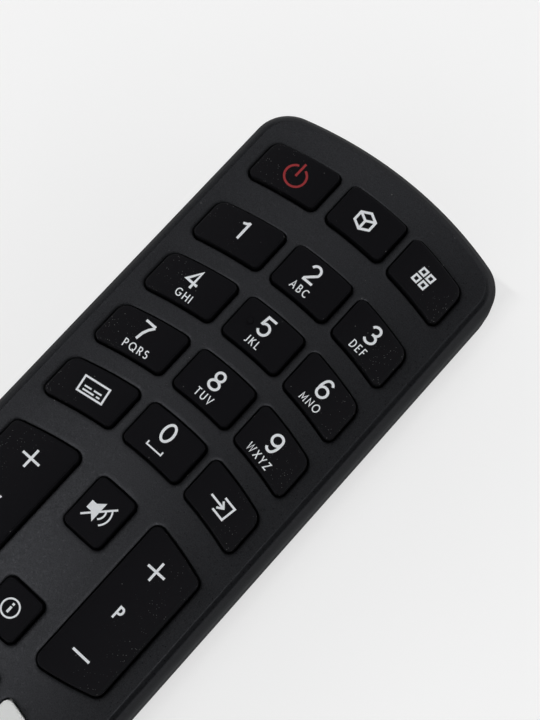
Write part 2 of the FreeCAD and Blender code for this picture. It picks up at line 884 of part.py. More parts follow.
def build():
    keys = all_keys()
    rockers = all_rockers()
    everything = list(keys.values()) + list(rockers.values())
    openings = [key.prism(key_gap, parting_height, above_case) for key in everything]
    nodes = {name: key_solid(key) for name, key in keys.items()}
    nodes.update({name: rocker_solid(key) for name, key in rockers.items()})
    nodes["top_case"] = top_case(openings)
    nodes["bottom_case"] = bottom_case()
    nodes["battery_door"] = door()
    nodes["battery_cell_a"] = cell(cell_places()[0], 1)
    nodes["battery_cell_b"] = cell(cell_places()[1], -1)
    nodes["positive_contact"] = positive_contact()
    nodes["negative_contact"] = negative_contact()
    nodes["bridge_contact"] = bridge_contact()
    nodes["circuit_board"] = circuit_board()
    nodes["keypad_sheet"] = keypad_sheet(keys, rockers)
    nodes["infrared_window"] = infrared_window()
    nodes["infrared_lamp"] = infrared_lamp()
    nodes["controller_chip"] = controller_chip()
    nodes["crystal"] = hanging_box(crystal_place, crystal_size)
    nodes["transistor"] = hanging_box(transistor_place, transistor_size)
    nodes["capacitor"] = capacitor()
    nodes["chip_resistors"] = chip_resistors()
    return nodes


os.makedirs("parts", exist_ok=True)
for node_name, node_shape in build().items():
    node_shape.exportStep(f"parts/{node_name}.step")
    print(node_name, len(node_shape.Solids), round(node_shape.Volume, 1), node_shape.isValid())
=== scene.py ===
import json
import math

import bmesh
import bpy
from mathutils import Matrix, Vector


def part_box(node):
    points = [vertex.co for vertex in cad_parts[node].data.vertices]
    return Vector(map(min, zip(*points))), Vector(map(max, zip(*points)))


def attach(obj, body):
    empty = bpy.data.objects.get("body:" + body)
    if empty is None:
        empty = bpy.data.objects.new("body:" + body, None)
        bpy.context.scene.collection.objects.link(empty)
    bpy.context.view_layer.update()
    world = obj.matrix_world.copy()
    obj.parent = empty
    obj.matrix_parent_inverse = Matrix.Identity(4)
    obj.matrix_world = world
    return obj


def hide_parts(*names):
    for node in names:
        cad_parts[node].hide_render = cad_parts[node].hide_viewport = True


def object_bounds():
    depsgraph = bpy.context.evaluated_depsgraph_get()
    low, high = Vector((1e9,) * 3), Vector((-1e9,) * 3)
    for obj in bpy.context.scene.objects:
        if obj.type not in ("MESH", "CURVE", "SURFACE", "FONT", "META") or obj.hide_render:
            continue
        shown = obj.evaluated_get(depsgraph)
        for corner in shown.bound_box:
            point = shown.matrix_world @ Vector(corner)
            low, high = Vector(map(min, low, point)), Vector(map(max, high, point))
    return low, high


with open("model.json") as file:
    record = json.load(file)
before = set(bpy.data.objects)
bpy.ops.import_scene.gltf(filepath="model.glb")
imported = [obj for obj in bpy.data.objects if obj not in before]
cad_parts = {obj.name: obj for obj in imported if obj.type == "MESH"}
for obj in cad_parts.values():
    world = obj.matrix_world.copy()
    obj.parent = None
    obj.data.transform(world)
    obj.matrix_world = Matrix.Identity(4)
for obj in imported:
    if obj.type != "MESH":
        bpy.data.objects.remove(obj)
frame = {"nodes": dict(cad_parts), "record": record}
cad_low, cad_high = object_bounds()

# Lengths are in millimetres, and finished() makes metres of them
MM = 0.001
TURN = 2 * math.pi

# Case in plan and in height
TIP = cad_high.y / MM
HALF_WIDTH = cad_high.x / MM
END_BOW_RADIUS = 62.0
CORNER_RADIUS = 7.2
LEAST_CORNER = 0.5
PARTING = 13.8
FACE_HEIGHT = 18.46
FACE_RADIUS = 146.0
FACE_AXIS = FACE_HEIGHT + FACE_RADIUS
WALL = 1.75
FACE_INSET = 2.05

# Shoulder: each arc's radius, its first and last slope in degrees, and its steps
SHOULDER_ARCS = ((0.45, 0, 17, 4), (3.0, 17, 32, 5), (0.9, 32, 42, 3), (3.29, 42, 86, 9))

# Upper shell's lower edge, with an eased corner, and inside, as insets from the outline
SHELL_LIP = 0.12
LIP_MIDDLE = 0.036
GROOVE_SIDES = (1.0, 1.8)
GROOVE_RISE = 1.0
CEILING_INSET = 2.2

# Openings: the face rolls in a little before a small round leads down the hole's wall
HOLE_EDGE = 0.14
ROLL_WIDTH = 0.5
ROLL_DROP = 0.035

# Mesh: a support row beside each round, strips that follow the hollow, and fineness
SUPPORT = 0.25
STRIP = 1.25
FIRST_STRIP = 0.4
SIDE_POINTS = 25
CASE_SIDE_STEPS = 12
CASE_CORNER_POINTS = 17
CASE_END_POINTS = 15
ROUND_STEPS = 9
EDGE_STEPS = 5
WELD = 0.0005
SMOOTH_ANGLE = 35

# Keys' form
KEY_GAP = 0.29
KEY_RISE = 1.12
KEY_EDGE = 0.34
KEY_END = 19.3
KEY_END_FALL = 0.2
SKIRT_LOW = 15.5
SKIRT_HIGH = 16.56
SKIRT_LIP = 0.36
ROCKER_SKIRT_LOW = 15.45
ROCKER_SKIRT_HIGH = 16.15
ROCKER_SKIRT_LIP = 0.45
SMALL_CORNER = 1.02
LARGE_CORNER = 2.25
SQUARE_CORNER = 0.9

# A key's bowed end follows y = end - bow * x * x
ROW_BOW = 1 / 118
ROW_LOW_BOW = 1 / 132
ROCKER_LOW_BOW = 1 / 114
MIDDLE_BOW = 1 / 212

# Keys' places: sides as x, ends and middles of rows as distances from the infrared end
COLUMNS = ((-20.4, -8.15), (-5.68, 5.97), (8.05, 20.05))
KEY_LENGTH = 7.92
TOP_ROW = 11.08
FIRST_DIGIT_ROW = 24.94
DIGIT_PITCH = 11.845
MIDDLE_SIDES = (-3.66, 3.9)
MUTE_ENDS = (80.5, 71.0)
INFO_ENDS = (100.1, 92.05)
ROCKER_ENDS = (100.11, 70.29)
VOLUME_SIDES = (-20.1, -8.1)
VOLUME_CORNERS = (1.5, 1.7, 1.3, 1.25)
CHANNEL_SIDES = (8.07, 19.8)
CHANNEL_CORNERS = (1.7, 1.5, 1.25, 1.3)
WIDE_COLUMNS = ((-20.4, -9.1), (-6.1, 6.1), (9.05, 20.05))
MENU_ROW = 109.1
MENU_LENGTH = 8.0
MENU_RISE = 0.6
PAD_MIDDLE = 135.5
PAD_INNER = 8.3
PAD_OUTER = 17.5
PAD_SPOKE = 1.9
OK_SIDE = 12.6
OK_CORNER = 2.6
COLOR_ROW = 160.6
COLOR_PITCH = 10.3
COLOR_SIZE = (7.9, 5.0)
MEDIA_ROW = 171.6
MEDIA_PITCH = 13.9
MEDIA_SIZE = (11.0, 6.6)

# Raised dot on the middle key, at an x and an inset from the infrared end
DOT_PLACE = (-2.98, 36.65)
DOT_RADIUS = 0.55
DOT_HEIGHT = 0.45
DOT_SINK = 0.02
DOT_SIDES = 24

# Cells
CELL_BAND = 11.0
BAND_EDGE = 0.2

# Markings, with their insets from the infrared end
PRINT_LIFT = 0.012
STROKE = 0.45
THIN_STROKE = 0.34
DIGIT_HEIGHT = 3.62
LETTER_HEIGHT = 1.42
LETTER_STROKE = 0.2
LETTER_GAP = 0.38
OK_HEIGHT = 2.3
OK_STROKE = 0.4
SPACE_PLACE = (-0.35, 62.39)
PLUS_INSET = 76.74
MINUS_INSET = 93.79
SIGN_HALF = 1.76
SIGN_STROKE = 0.43
ROCKER_LETTER_INSET = 85.29
ROCKER_LETTER_HEIGHT = 2.2
ROCKER_LETTER_STROKE = 0.38
ARROW_REACH = 13.0

# Floor: its half side in metres, and the shade near the case as ramps along x and y
FLOOR_HALF = 3.0
FLOOR_LEVEL = -0.04
FLOOR_GLOW = 0.66
FLOOR_SHADE = 0.88
SHADE_BESIDE = (23.2, 26.6)
SHADE_BEYOND = (98.0, 105.0)

# Camera of the photograph, fitted to it: place in millimetres, lens in millimetres on its
# sensor, and the picture's right, down and forward directions
CAMERA_PLACE = (49.43, 20.31, 252.55)
CAMERA_RIGHT = (0.74664495, 0.66478338, -0.02417369)
CAMERA_DOWN = (0.63775591, -0.72567774, -0.25818446)
CAMERA_FORWARD = (-0.18917905, 0.17735521, -0.96579315)
LENS = 74.56
SENSOR = 36.0
CLIP = (0.01, 20.0)

# Studio: a pale ring low down and a dim upper part, with the heights between which one
# turns into the other; then soft lights and dark patches, each with its direction, inner
# and outer angle, and strength or share of light kept. The first patch is where the
# camera stands.
RING_HEIGHTS = (0.3, 0.7)
RING_LIGHT = 1.93
UPPER_LIGHT = 0.066
SOFT_LIGHTS = (
    ((-0.12, -0.15, 0.98), 2, 14, 3.46),
    ((-0.05, 0.33, 0.94), 4, 22, 0.9),
    ((-0.72, 0.1, 0.69), 6, 18, 0.5),
    ((-0.3, 0.65, 0.7), 6, 22, 0.66),
)
DARK_PATCHES = (
    ((0.5, 0.0, 0.87), 20, 34, 0.02),
    ((-0.7, 0.7, 0.15), 35, 65, 0.55),
)


def tip(inset):
    """The y at a distance from the infrared end."""
    return TIP - inset


def face_level(x, rise=0.0):
    """Height of the hollow face at x, or of the key tops at their rise over it."""
    radius = FACE_RADIUS - rise
    return FACE_AXIS - math.sqrt(radius * radius - x * x)


def below_face(drop):
    return lambda x: face_level(x) - drop


# Nodes and materials

def set_range(node, low, high, start, end):
    for name, value in (("From Min", low), ("From Max", high), ("To Min", start), ("To Max", end)):
        node.inputs[name].default_value = value


class Graph:
    """A short way to write a material's nodes."""

    def __init__(self, name):
        self.material = bpy.data.materials.new(name)
        self.material.use_nodes = True
        self.tree = self.material.node_tree
        self.shader = self.tree.nodes["Principled BSDF"]
        place = self.tree.nodes.new("ShaderNodeTexCoord")
        scale = self.tree.nodes.new("ShaderNodeVectorMath")
        scale.operation = "SCALE"
        scale.inputs["Scale"].default_value = 1 / MM
        self.tree.links.new(place.outputs["Object"], scale.inputs[0])
        self.place = scale.outputs["Vector"]
        self.facing = place.outputs["Normal"]

    def new(self, kind, **settings):
        node = self.tree.nodes.new("ShaderNode" + kind)
        for key, value in settings.items():
            setattr(node, key, value)
        return node

    def link(self, source, target):
        self.tree.links.new(source, target)

    def part(self, source, axis):
        """One axis of the place or of the direction that the surface faces."""
        node = self.new("SeparateXYZ")
        self.link(source, node.inputs["Vector"])
        return node.outputs[axis]

    def noise(self, scale, detail=2.0, rough=0.5, place=None):
        node = self.new("TexNoise")
        node.inputs["Scale"].default_value = scale
        node.inputs["Detail"].default_value = detail
        node.inputs["Roughness"].default_value = rough
        self.link(place or self.place, node.inputs["Vector"])
        return node.outputs["Fac"]

    def absolute(self, source):
        return self.math("ABSOLUTE", source, 0.0)

    def cells(self, scale):
        """Distance to the middle of each cell of a pattern, and a number by chance for it."""
        node = self.new("TexVoronoi")
        node.inputs["Scale"].default_value = scale
        self.link(self.place, node.inputs["Vector"])
        chance = self.new("SeparateColor")
        self.link(node.outputs["Color"], chance.inputs["Color"])
        return node.outputs["Distance"], chance.outputs["Red"]

    def stretched(self, x, y, z):
        """The place, scaled along each axis."""
        node = self.new("Mapping")
        node.inputs["Scale"].default_value = (x, y, z)
        self.link(self.place, node.inputs["Vector"])
        return node.outputs["Vector"]

    def ramp(self, source, low, high, start=0.0, end=1.0):
        """Straight change from start to end as the source goes from low to high."""
        node = self.new("MapRange", clamp=True)
        set_range(node, low, high, start, end)
        self.link(source, node.inputs["Value"])
        return node.outputs["Result"]

    def math(self, operation, a, b):
        node = self.new("Math", operation=operation)
        for socket, value in zip(node.inputs, (a, b)):
            if isinstance(value, (int, float)):
                socket.default_value = value
            else:
                self.link(value, socket)
        return node.outputs[0]

    def mix(self, factor, a, b):
        node = self.new("Mix", data_type="RGBA")
        self.link(factor, node.inputs["Factor"])
        for socket, value in ((node.inputs[6], a), (node.inputs[7], b)):
            if isinstance(value, tuple):
                socket.default_value = (*value, 1.0)
            else:
                self.link(value, socket)
        return node.outputs[2]

    def bump(self, height, strength, distance):
        node = self.new("Bump")
        node.inputs["Strength"].default_value = strength
        node.inputs["Distance"].default_value = distance * MM
        self.link(height, node.inputs["Height"])
        return node

    def socket(self, name):
        return self.shader.inputs[name]

    def color(self, source):
        self.link(source, self.socket("Base Color"))

    def rough(self, source):
        self.link(source, self.socket("Roughness"))

    def normal(self, bump):
        self.link(bump.outputs["Normal"], self.socket("Normal"))

    def gloss(self, source):
        self.link(source, self.socket("Specular IOR Level"))

    def set(self, **values):
        for key, value in values.items():
            self.socket(key.replace("_", " ")).default_value = value


def dust(graph, scale, size, share):
    """Bright specks at a share of the cells of a pattern."""
    distance, chance = graph.cells(scale)
    specks = graph.ramp(distance, size, size * 0.6)
    chosen = graph.ramp(chance, 1 - share, 1.01 - share)
    return graph.math("MULTIPLY", specks, chosen)


def case_plastic():
    """Dark moulded plastic with a fine grain and less glossy sides, whose colour is painted paler
    to stand in for the light the sides catch.
    """
    graph = Graph("case_plastic")
    fine = graph.noise(5.0, 1.0, 0.7)
    cloud = graph.noise(0.06, 2.0)
    base = graph.mix(graph.ramp(fine, 0.4, 0.64),
                     (0.0050, 0.0053, 0.0060), (0.0098, 0.0102, 0.0115))
    base = graph.mix(graph.ramp(cloud, 0.35, 0.7, 0.0, 0.3), base, (0.0052, 0.0055, 0.0062))
    upwards = graph.part(graph.facing, "Z")
    # Painted light: surfaces that face sideways get a paler colour, standing in for the glancing
    # light on the sides
    base = graph.mix(graph.ramp(upwards, 0.3, 0.93, 1.0, 0.0), base, (0.0195, 0.0202, 0.0215))
    graph.color(graph.mix(dust(graph, 0.62, 0.07, 0.16), base, (0.14, 0.14, 0.14)))
    smooth = graph.ramp(upwards, 0.5, 0.8, 0.7, 0.31)
    uneven = graph.ramp(graph.noise(2.0, 2.0), 0.3, 0.7, -0.04, 0.04)
    graph.rough(graph.math("ADD", smooth, uneven))
    shine = graph.math("ADD", graph.ramp(upwards, 0.15, 0.8, 0.015, 0.094),
                       graph.ramp(upwards, 0.86, 0.985, 0.0, 0.24))
    sparkle = graph.ramp(graph.noise(5.2, 1.0, 0.7), 0.38, 0.62, 0.8, 1.22)
    graph.gloss(graph.math("MULTIPLY", shine, sparkle))
    graph.normal(graph.bump(graph.noise(4.5, 2.0, 0.6), 0.07, 0.05))
    graph.set(Specular_Tint=(0.965, 0.985, 1.075, 1.0))
    return graph.material


def key_rubber(name, dark, light, rough, speck_share=0.2):
    """Matte rubber with specks of dust, a little paler and linty towards the case's sides."""
    graph = Graph(name)
    fine = graph.noise(9.0, 2.0, 0.6)
    base = graph.mix(graph.ramp(fine, 0.3, 0.7), dark, light)
    sideways = graph.absolute(graph.part(graph.place, "X"))
    # Slightly paler towards the case's sides
    lighter = tuple(min(1.0, value + 0.0018) for value in light)
    base = graph.mix(graph.ramp(sideways, 9.0, 19.5), base, lighter)
    specks = dust(graph, 0.85, 0.07, speck_share)
    patches = graph.math("MULTIPLY", graph.ramp(graph.noise(0.22, 2.0), 0.4, 0.56),
                         graph.ramp(sideways, 12.0, 18.5))
    lint = graph.math("MULTIPLY", dust(graph, 3.0, 0.2, 0.4), patches)
    marks = graph.math("MAXIMUM", specks, lint)
    pale = tuple(min(1.0, value + 0.15) for value in light)
    graph.color(graph.mix(marks, base, pale))
    scuffs = graph.noise(1.3, 3.0, 0.7, graph.stretched(3.0, 0.5, 1.0))
    graph.rough(graph.ramp(scuffs, 0.4, 0.75, rough, rough - 0.08))
    graph.normal(graph.bump(graph.noise(7.0, 2.0), 0.25, 0.02))
    upwards = graph.part(graph.facing, "Z")
    graph.gloss(graph.ramp(upwards, 0.5, 0.97, 0.03, 0.092))
    graph.set(Specular_Tint=(0.985, 0.965, 1.13, 1.0))
    return graph.material


def print_ink(name, dark, light):
    """Printed marks, a little worn."""
    graph = Graph(name)
    lighter = graph.ramp(graph.noise(6.0, 3.0, 0.7), 0.35, 0.6)
    graph.color(graph.mix(lighter, dark, light))
    graph.rough(graph.ramp(graph.noise(3.0), 0.3, 0.7, 0.5, 0.6))
    graph.set(Specular_IOR_Level=0.35)
    return graph.material


def spring_metal():
    """Nickel plate with fine lines from drawing."""
    graph = Graph("spring_metal")
    lines = graph.noise(1.0, 3.0, 0.6, graph.stretched(14.0, 0.6, 14.0))
    graph.color(graph.mix(graph.ramp(lines, 0.3, 0.7), (0.52, 0.51, 0.47), (0.66, 0.65, 0.6)))
    graph.rough(graph.ramp(lines, 0.3, 0.7, 0.22, 0.36))
    graph.set(Metallic=1.0)
    return graph.material


def speckled(name, dark, light, scale, rough, metallic=0.0, coat=0.0):
    """Plain moulded or painted surface with a fine mottle."""
    graph = Graph(name)
    fine = graph.noise(scale, 3.0, 0.6)
    graph.color(graph.mix(graph.ramp(fine, 0.3, 0.7), dark, light))
    graph.rough(graph.ramp(graph.noise(scale * 0.4), 0.3, 0.7, rough - 0.05, rough + 0.05))
    graph.normal(graph.bump(fine, 0.15, 0.02))
    graph.set(Metallic=metallic, Coat_Weight=coat)
    return graph.material


def cell_wrap():
    """A dark barrel with a copper band at the raised end, and bare steel ends.

    The cell at -X has its raised end towards +Y, and the other has it towards -Y.
    """
    low, high = (corner[1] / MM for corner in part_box("battery_cell_a"))
    graph = Graph("cell_wrap")
    fine = graph.noise(3.0, 3.0)
    barrel = graph.mix(graph.ramp(fine, 0.3, 0.7), (0.012, 0.014, 0.02), (0.02, 0.023, 0.031))
    along = graph.part(graph.place, "Y")
    left = graph.ramp(graph.part(graph.place, "X"), 0.05, -0.05)
    right = graph.math("SUBTRACT", 1.0, left)
    upper_start, lower_start = high - CELL_BAND, low + CELL_BAND
    near = graph.math("MULTIPLY", left, graph.ramp(along, upper_start, upper_start + BAND_EDGE))
    far = graph.math("MULTIPLY", right, graph.ramp(along, lower_start, lower_start - BAND_EDGE))
    wrap = graph.mix(graph.math("MAXIMUM", near, far), barrel, (0.55, 0.27, 0.13))
    ends = graph.ramp(graph.absolute(graph.part(graph.facing, "Y")), 0.7, 0.9)
    graph.color(graph.mix(ends, wrap, (0.55, 0.55, 0.53)))
    graph.rough(graph.ramp(fine, 0.3, 0.7, 0.28, 0.38))
    graph.set(Metallic=0.6, Coat_Weight=0.3)
    return graph.material


def lens(name, color, rough, transmission, shine):
    """Clear or tinted plastic with faint streaks."""
    graph = Graph(name)
    streak = graph.ramp(graph.noise(0.9, 2.0), 0.3, 0.7)
    deep = tuple(value * 0.7 for value in color)
    graph.color(graph.mix(streak, deep, color))
    graph.rough(graph.ramp(graph.noise(4.0), 0.3, 0.7, rough, rough + 0.06))
    graph.set(Transmission_Weight=transmission, Specular_IOR_Level=shine)
    return graph.material


# One material for each material slot of the record
LOOKS = {
    "case_plastic": case_plastic(),
    "key_rubber": key_rubber("key_rubber", (0.0019, 0.0019, 0.0022),
                             (0.0034, 0.0034, 0.0039), 0.52),
    "key_white": key_rubber("key_white", (0.9, 0.91, 0.9), (0.95, 0.96, 0.95), 0.55, 0.0),
    "key_red": key_rubber("key_red", (0.36, 0.02, 0.02), (0.42, 0.025, 0.025), 0.55, 0.1),
    "key_green": key_rubber("key_green", (0.02, 0.2, 0.07), (0.025, 0.24, 0.085), 0.55, 0.1),
    "key_yellow": key_rubber("key_yellow", (0.6, 0.42, 0.03), (0.66, 0.47, 0.04), 0.55, 0.1),
    "key_blue": key_rubber("key_blue", (0.02, 0.06, 0.3), (0.025, 0.07, 0.35), 0.55, 0.1),
    "cell_wrap": cell_wrap(),
    "spring_metal": spring_metal(),
    "board_green": speckled("board_green", (0.008, 0.07, 0.03), (0.012, 0.095, 0.04), 1.2, 0.3,
                            coat=0.4),
    "sheet_rubber": speckled("sheet_rubber", (0.1, 0.1, 0.105), (0.13, 0.13, 0.135), 5.0, 0.65),
    "window_red": lens("window_red", (0.03, 0.003, 0.006), 0.1, 0.2, 0.2),
    "lamp_clear": lens("lamp_clear", (0.5, 0.55, 0.68), 0.06, 0.7, 0.5),
    "chip_black": speckled("chip_black", (0.008, 0.008, 0.009), (0.016, 0.016, 0.017), 6.0, 0.5),
    "crystal_can": speckled("crystal_can", (0.5, 0.5, 0.5), (0.62, 0.62, 0.61), 2.0, 0.3,
                            metallic=1.0),
    "capacitor_sleeve": speckled("capacitor_sleeve", (0.01, 0.014, 0.06), (0.014, 0.02, 0.08),
                                 2.0, 0.3),
}
PALE_PRINT = print_ink("print_pale", (0.86, 0.89, 0.93), (0.93, 0.95, 0.97))
RED_PRINT = print_ink("print_red", (0.27, 0.018, 0.022), (0.38, 0.026, 0.03))
GREY_PRINT = print_ink("print_grey", (0.07, 0.07, 0.075), (0.1, 0.1, 0.105))


# Outlines in plan

def bowed_side(x_start, x_end, end, bow):
    """Points along y = end - bow * x * x."""
    steps = SIDE_POINTS - 1
    xs = [x_start + (x_end - x_start) * step / steps for step in range(SIDE_POINTS)]
    return [Vector((x, end - bow * x * x)) for x in xs]


def arc_side(centre, radius, start, end, count=SIDE_POINTS):
    """Points along an arc; angles in radians."""
    angles = [start + (end - start) * step / (count - 1) for step in range(count)]
    return [centre + Vector((math.cos(angle), math.sin(angle))) * radius for angle in angles]


def trimmed(points, head, tail):
    """A polyline with a length cut off each end."""
    def cut(run, length):
        for index in range(len(run) - 1):
            step = (run[index + 1] - run[index]).length
            if length < step:
                return [run[index].lerp(run[index + 1], length / step)] + run[index + 1:]
            length -= step
        return run[-1:]
    return cut(cut(points, head)[::-1], tail)[::-1]


def rounded(sides, radii):
    """Joins anticlockwise sides into one closed outline with a round of its own at each start."""
    count = len(sides)
    starts = [(side[1] - side[0]).normalized() for side in sides]
    ends = [(side[-1] - side[-2]).normalized() for side in sides]
    turns = [ends[i - 1].angle(starts[i]) for i in range(count)]
    cuts = [radii[i] * math.tan(turns[i] / 2) for i in range(count)]
    kept = [trimmed(sides[i], cuts[i], cuts[(i + 1) % count]) for i in range(count)]
    outline = []
    for i in range(count):
        before, after = kept[i - 1], kept[i]
        # The round is a cubic curve with the control points a, b, c and d
        a, d = before[-1], after[0]
        into = (before[-1] - before[-2]).normalized()
        out = (after[1] - after[0]).normalized()
        reach = 4 / 3 * math.tan(turns[i] / 4) * radii[i]
        b, c = a + into * reach, d - out * reach
        for step in range(1, ROUND_STEPS):
            t = step / ROUND_STEPS
            s = 1 - t
            outline.append(a * s ** 3 + b * 3 * s * s * t + c * 3 * s * t * t + d * t ** 3)
        outline += after
    return outline


def grown(outline, distance):
    """The outline moved outwards along its own normals."""
    count = len(outline)
    result = []
    for i in range(count):
        run = outline[(i + 1) % count] - outline[i - 1]
        normal = Vector((run.y, -run.x)).normalized()
        result.append(outline[i] + normal * distance)
    return result


def case_outline(inset):
    """The case in plan, anticlockwise, with the same number of points at any inset."""
    half = HALF_WIDTH - inset
    bow = END_BOW_RADIUS - inset
    corner = max(CORNER_RADIUS - inset, LEAST_CORNER)
    bow_centre = TIP - END_BOW_RADIUS
    round_x = half - corner
    round_y = bow_centre + math.sqrt((bow - corner) ** 2 - round_x ** 2)
    angle = math.atan2(round_y - bow_centre, round_x)
    steps = CASE_SIDE_STEPS
    quarter = [Vector((half, round_y * step / steps)) for step in range(steps)]
    quarter += arc_side(Vector((round_x, round_y)), corner, 0, angle, CASE_CORNER_POINTS)
    quarter += arc_side(Vector((0, bow_centre)), bow, angle, TURN / 4, CASE_END_POINTS)[1:]
    left = [Vector((-point.x, point.y)) for point in reversed(quarter[:-1])]
    top = quarter + left
    low = [Vector((point.x, -point.y)) for point in reversed(top[1:-1])]
    return top + low


# Meshes

def finished(bm, name, materials, body):
    """Makes the object, in metres, shades it and hangs it on its CAD body."""
    bmesh.ops.remove_doubles(bm, verts=bm.verts, dist=WELD)
    mesh = bpy.data.meshes.new(name)
    bm.to_mesh(mesh)
    bm.free()
    mesh.transform(Matrix.Scale(MM, 4))
    for material in materials:
        mesh.materials.append(material)
    mesh.shade_smooth()
    mesh.set_sharp_from_angle(angle=math.radians(SMOOTH_ANGLE))
    piece = bpy.data.objects.new(name, mesh)
    bpy.context.collection.objects.link(piece)
    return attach(piece, body)


def ring(bm, outline, level):
    """A closed row of vertices; level is a height or a function of x."""
    if callable(level):
        return [bm.verts.new((p.x, p.y, level(p.x))) for p in outline]
    return [bm.verts.new((p.x, p.y, level)) for p in outline]


def bridge(bm, rows):
    """Faces between rows of the same length, facing outwards where the rows go up."""
    for low, high in zip(rows, rows[1:]):
        for i in range(len(low)):
            j = (i + 1) % len(low)
            bm.faces.new((low[i], low[j], high[j], high[i]))


def strips(bm, low, high):
    """Cuts the mesh across X into strips, so that it can follow the hollow face."""
    x = low
    while x < high:
        everything = bm.verts[:] + bm.edges[:] + bm.faces[:]
        bmesh.ops.bisect_plane(bm, geom=everything, plane_co=(x, 0, 0), plane_no=(1, 0, 0))
        x += STRIP


def flat_sheet(outlines, level):
    """A sheet inside the first outline and outside the others, bent to a level given by x."""
    curve = bpy.data.curves.new("sheet", "CURVE")
    curve.dimensions = "2D"
    curve.fill_mode = "BOTH"
    for outline in outlines:
        spline = curve.splines.new("POLY")
        spline.points.add(len(outline) - 1)
        for point, place in zip(spline.points, outline):
            point.co = (place.x, place.y, 0, 1)
        spline.use_cyclic_u = True
    holder = bpy.data.objects.new("sheet", curve)
    mesh = bpy.data.meshes.new_from_object(holder)
    bm = bmesh.new()
    bm.from_mesh(mesh)
    bpy.data.objects.remove(holder)
    bpy.data.meshes.remove(mesh)
    xs = [point.x for point in outlines[0]]
    strips(bm, min(xs) + FIRST_STRIP, max(xs))
    for face in bm.faces:
        if face.normal.z < 0:
            face.normal_flip()
    for vertex in bm.verts:
        vertex.co.z = level(vertex.co.x)
    return bm


def join(bm, other):
    """Adds another bmesh's faces to bm."""
    copies = {vertex: bm.verts.new(vertex.co) for vertex in other.verts}
    for face in other.faces:
        bm.faces.new([copies[vertex] for vertex in face.verts])
    other.free()


# Strokes of the markings, all in a key's second material

def printed(bm, vertices):
    """One face of a marking, facing up."""
    face = bm.faces.new(vertices)
    face.material_index = 1
    face.normal_update()
    if face.normal.z < 0:
        face.normal_flip()


def lifted(bm, points, level):
    return [bm.verts.new((p.x, p.y, level(p.x) + PRINT_LIFT)) for p in points]


def stroke(bm, points, width, level, closed=False):
    """A flat ribbon along points on the level given by x, at most twice as wide at a turn."""
    count = len(points)
    rows = []
    for i, point in enumerate(points):
        if closed:
            before, after = points[i - 1], points[(i + 1) % count]
        else:
            before, after = points[max(i - 1, 0)], points[min(i + 1, count - 1)]
        into = (point - before).normalized() if point != before else (after - point).normalized()
        out = (after - point).normalized() if point != after else into
        along = (into + out).normalized()
        side = Vector((-along.y, along.x))
        spread = width / 2 / max(along.dot(into), 0.5)
        rows.append(lifted(bm, (point + side * spread, point - side * spread), level))
    for i in range(count if closed else count - 1):
        a, b = rows[i], rows[(i + 1) % count]
        printed(bm, (a[0], a[1], b[1], b[0]))


def arc(x, y, rx, ry, start, end, steps=14):
    """Points of an ellipse's arc; angles in degrees, anticlockwise from +X."""
    angles = [math.radians(start + (end - start) * step / steps) for step in range(steps + 1)]
    return [(x + rx * math.cos(angle), y + ry * math.sin(angle)) for angle in angles]


# Each digit's strokes in a box 1 high, with x from the middle
DIGITS = {
    "0": [(arc(0, 0.5, 0.262, 0.43, 0, 345, 28), True)],
    "1": [([(0.07, 0.0), (0.07, 0.96)], False),
          ([(0.09, 0.93), (-0.03, 0.82), (-0.2, 0.74)], False)],
    "2": [(arc(0, 0.67, 0.245, 0.26, 165, -28, 12) + [(-0.02, 0.33), (-0.25, 0.1)], False),
          ([(-0.29, 0.065), (0.28, 0.065)], False)],
    "3": [(arc(0, 0.715, 0.235, 0.215, 160, -70, 12), False),
          (arc(0, 0.29, 0.265, 0.225, 82, -160, 14), False),
          ([(-0.06, 0.51), (0.05, 0.51)], False)],
    "4": [([(0.11, 0.0), (0.11, 0.92), (-0.28, 0.28), (0.32, 0.28)], False)],
    "5": [([(0.27, 0.935), (-0.19, 0.935), (-0.255, 0.47)], False),
          (arc(-0.005, 0.345, 0.265, 0.28, 143, -155, 18), False)],
    "6": [(arc(0, 0.32, 0.262, 0.255, 0, 345, 24), True),
          (arc(0.02, 0.43, 0.28, 0.505, 182, 98, 8)
           + arc(0.02, 0.69, 0.225, 0.24, 90, 22, 6), False)],
    "7": [([(-0.29, 0.935), (0.27, 0.935)], False),
          ([(0.27, 0.9), (0.1, 0.66), (-0.02, 0.38), (-0.08, 0.0)], False)],
    "8": [(arc(0, 0.72, 0.212, 0.215, 0, 345, 22), True),
          (arc(0, 0.275, 0.262, 0.215, 0, 345, 24), True)],
    "9": [(arc(0, 0.68, 0.262, 0.255, 0, 345, 24), True),
          (arc(-0.02, 0.57, 0.28, 0.505, 2, -82, 8)
           + arc(-0.02, 0.31, 0.225, 0.24, -90, -158, 6), False)],
}


def digit(bm, character, x, inset, level):
    """A digit with the middle of its box at x and at an inset from the infrared end."""
    centre = Vector((x, tip(inset)))
    for points, closed in DIGITS[character]:
        placed = [centre + Vector((px, py - 0.5)) * DIGIT_HEIGHT for px, py in points]
        stroke(bm, placed, STROKE, level, closed)


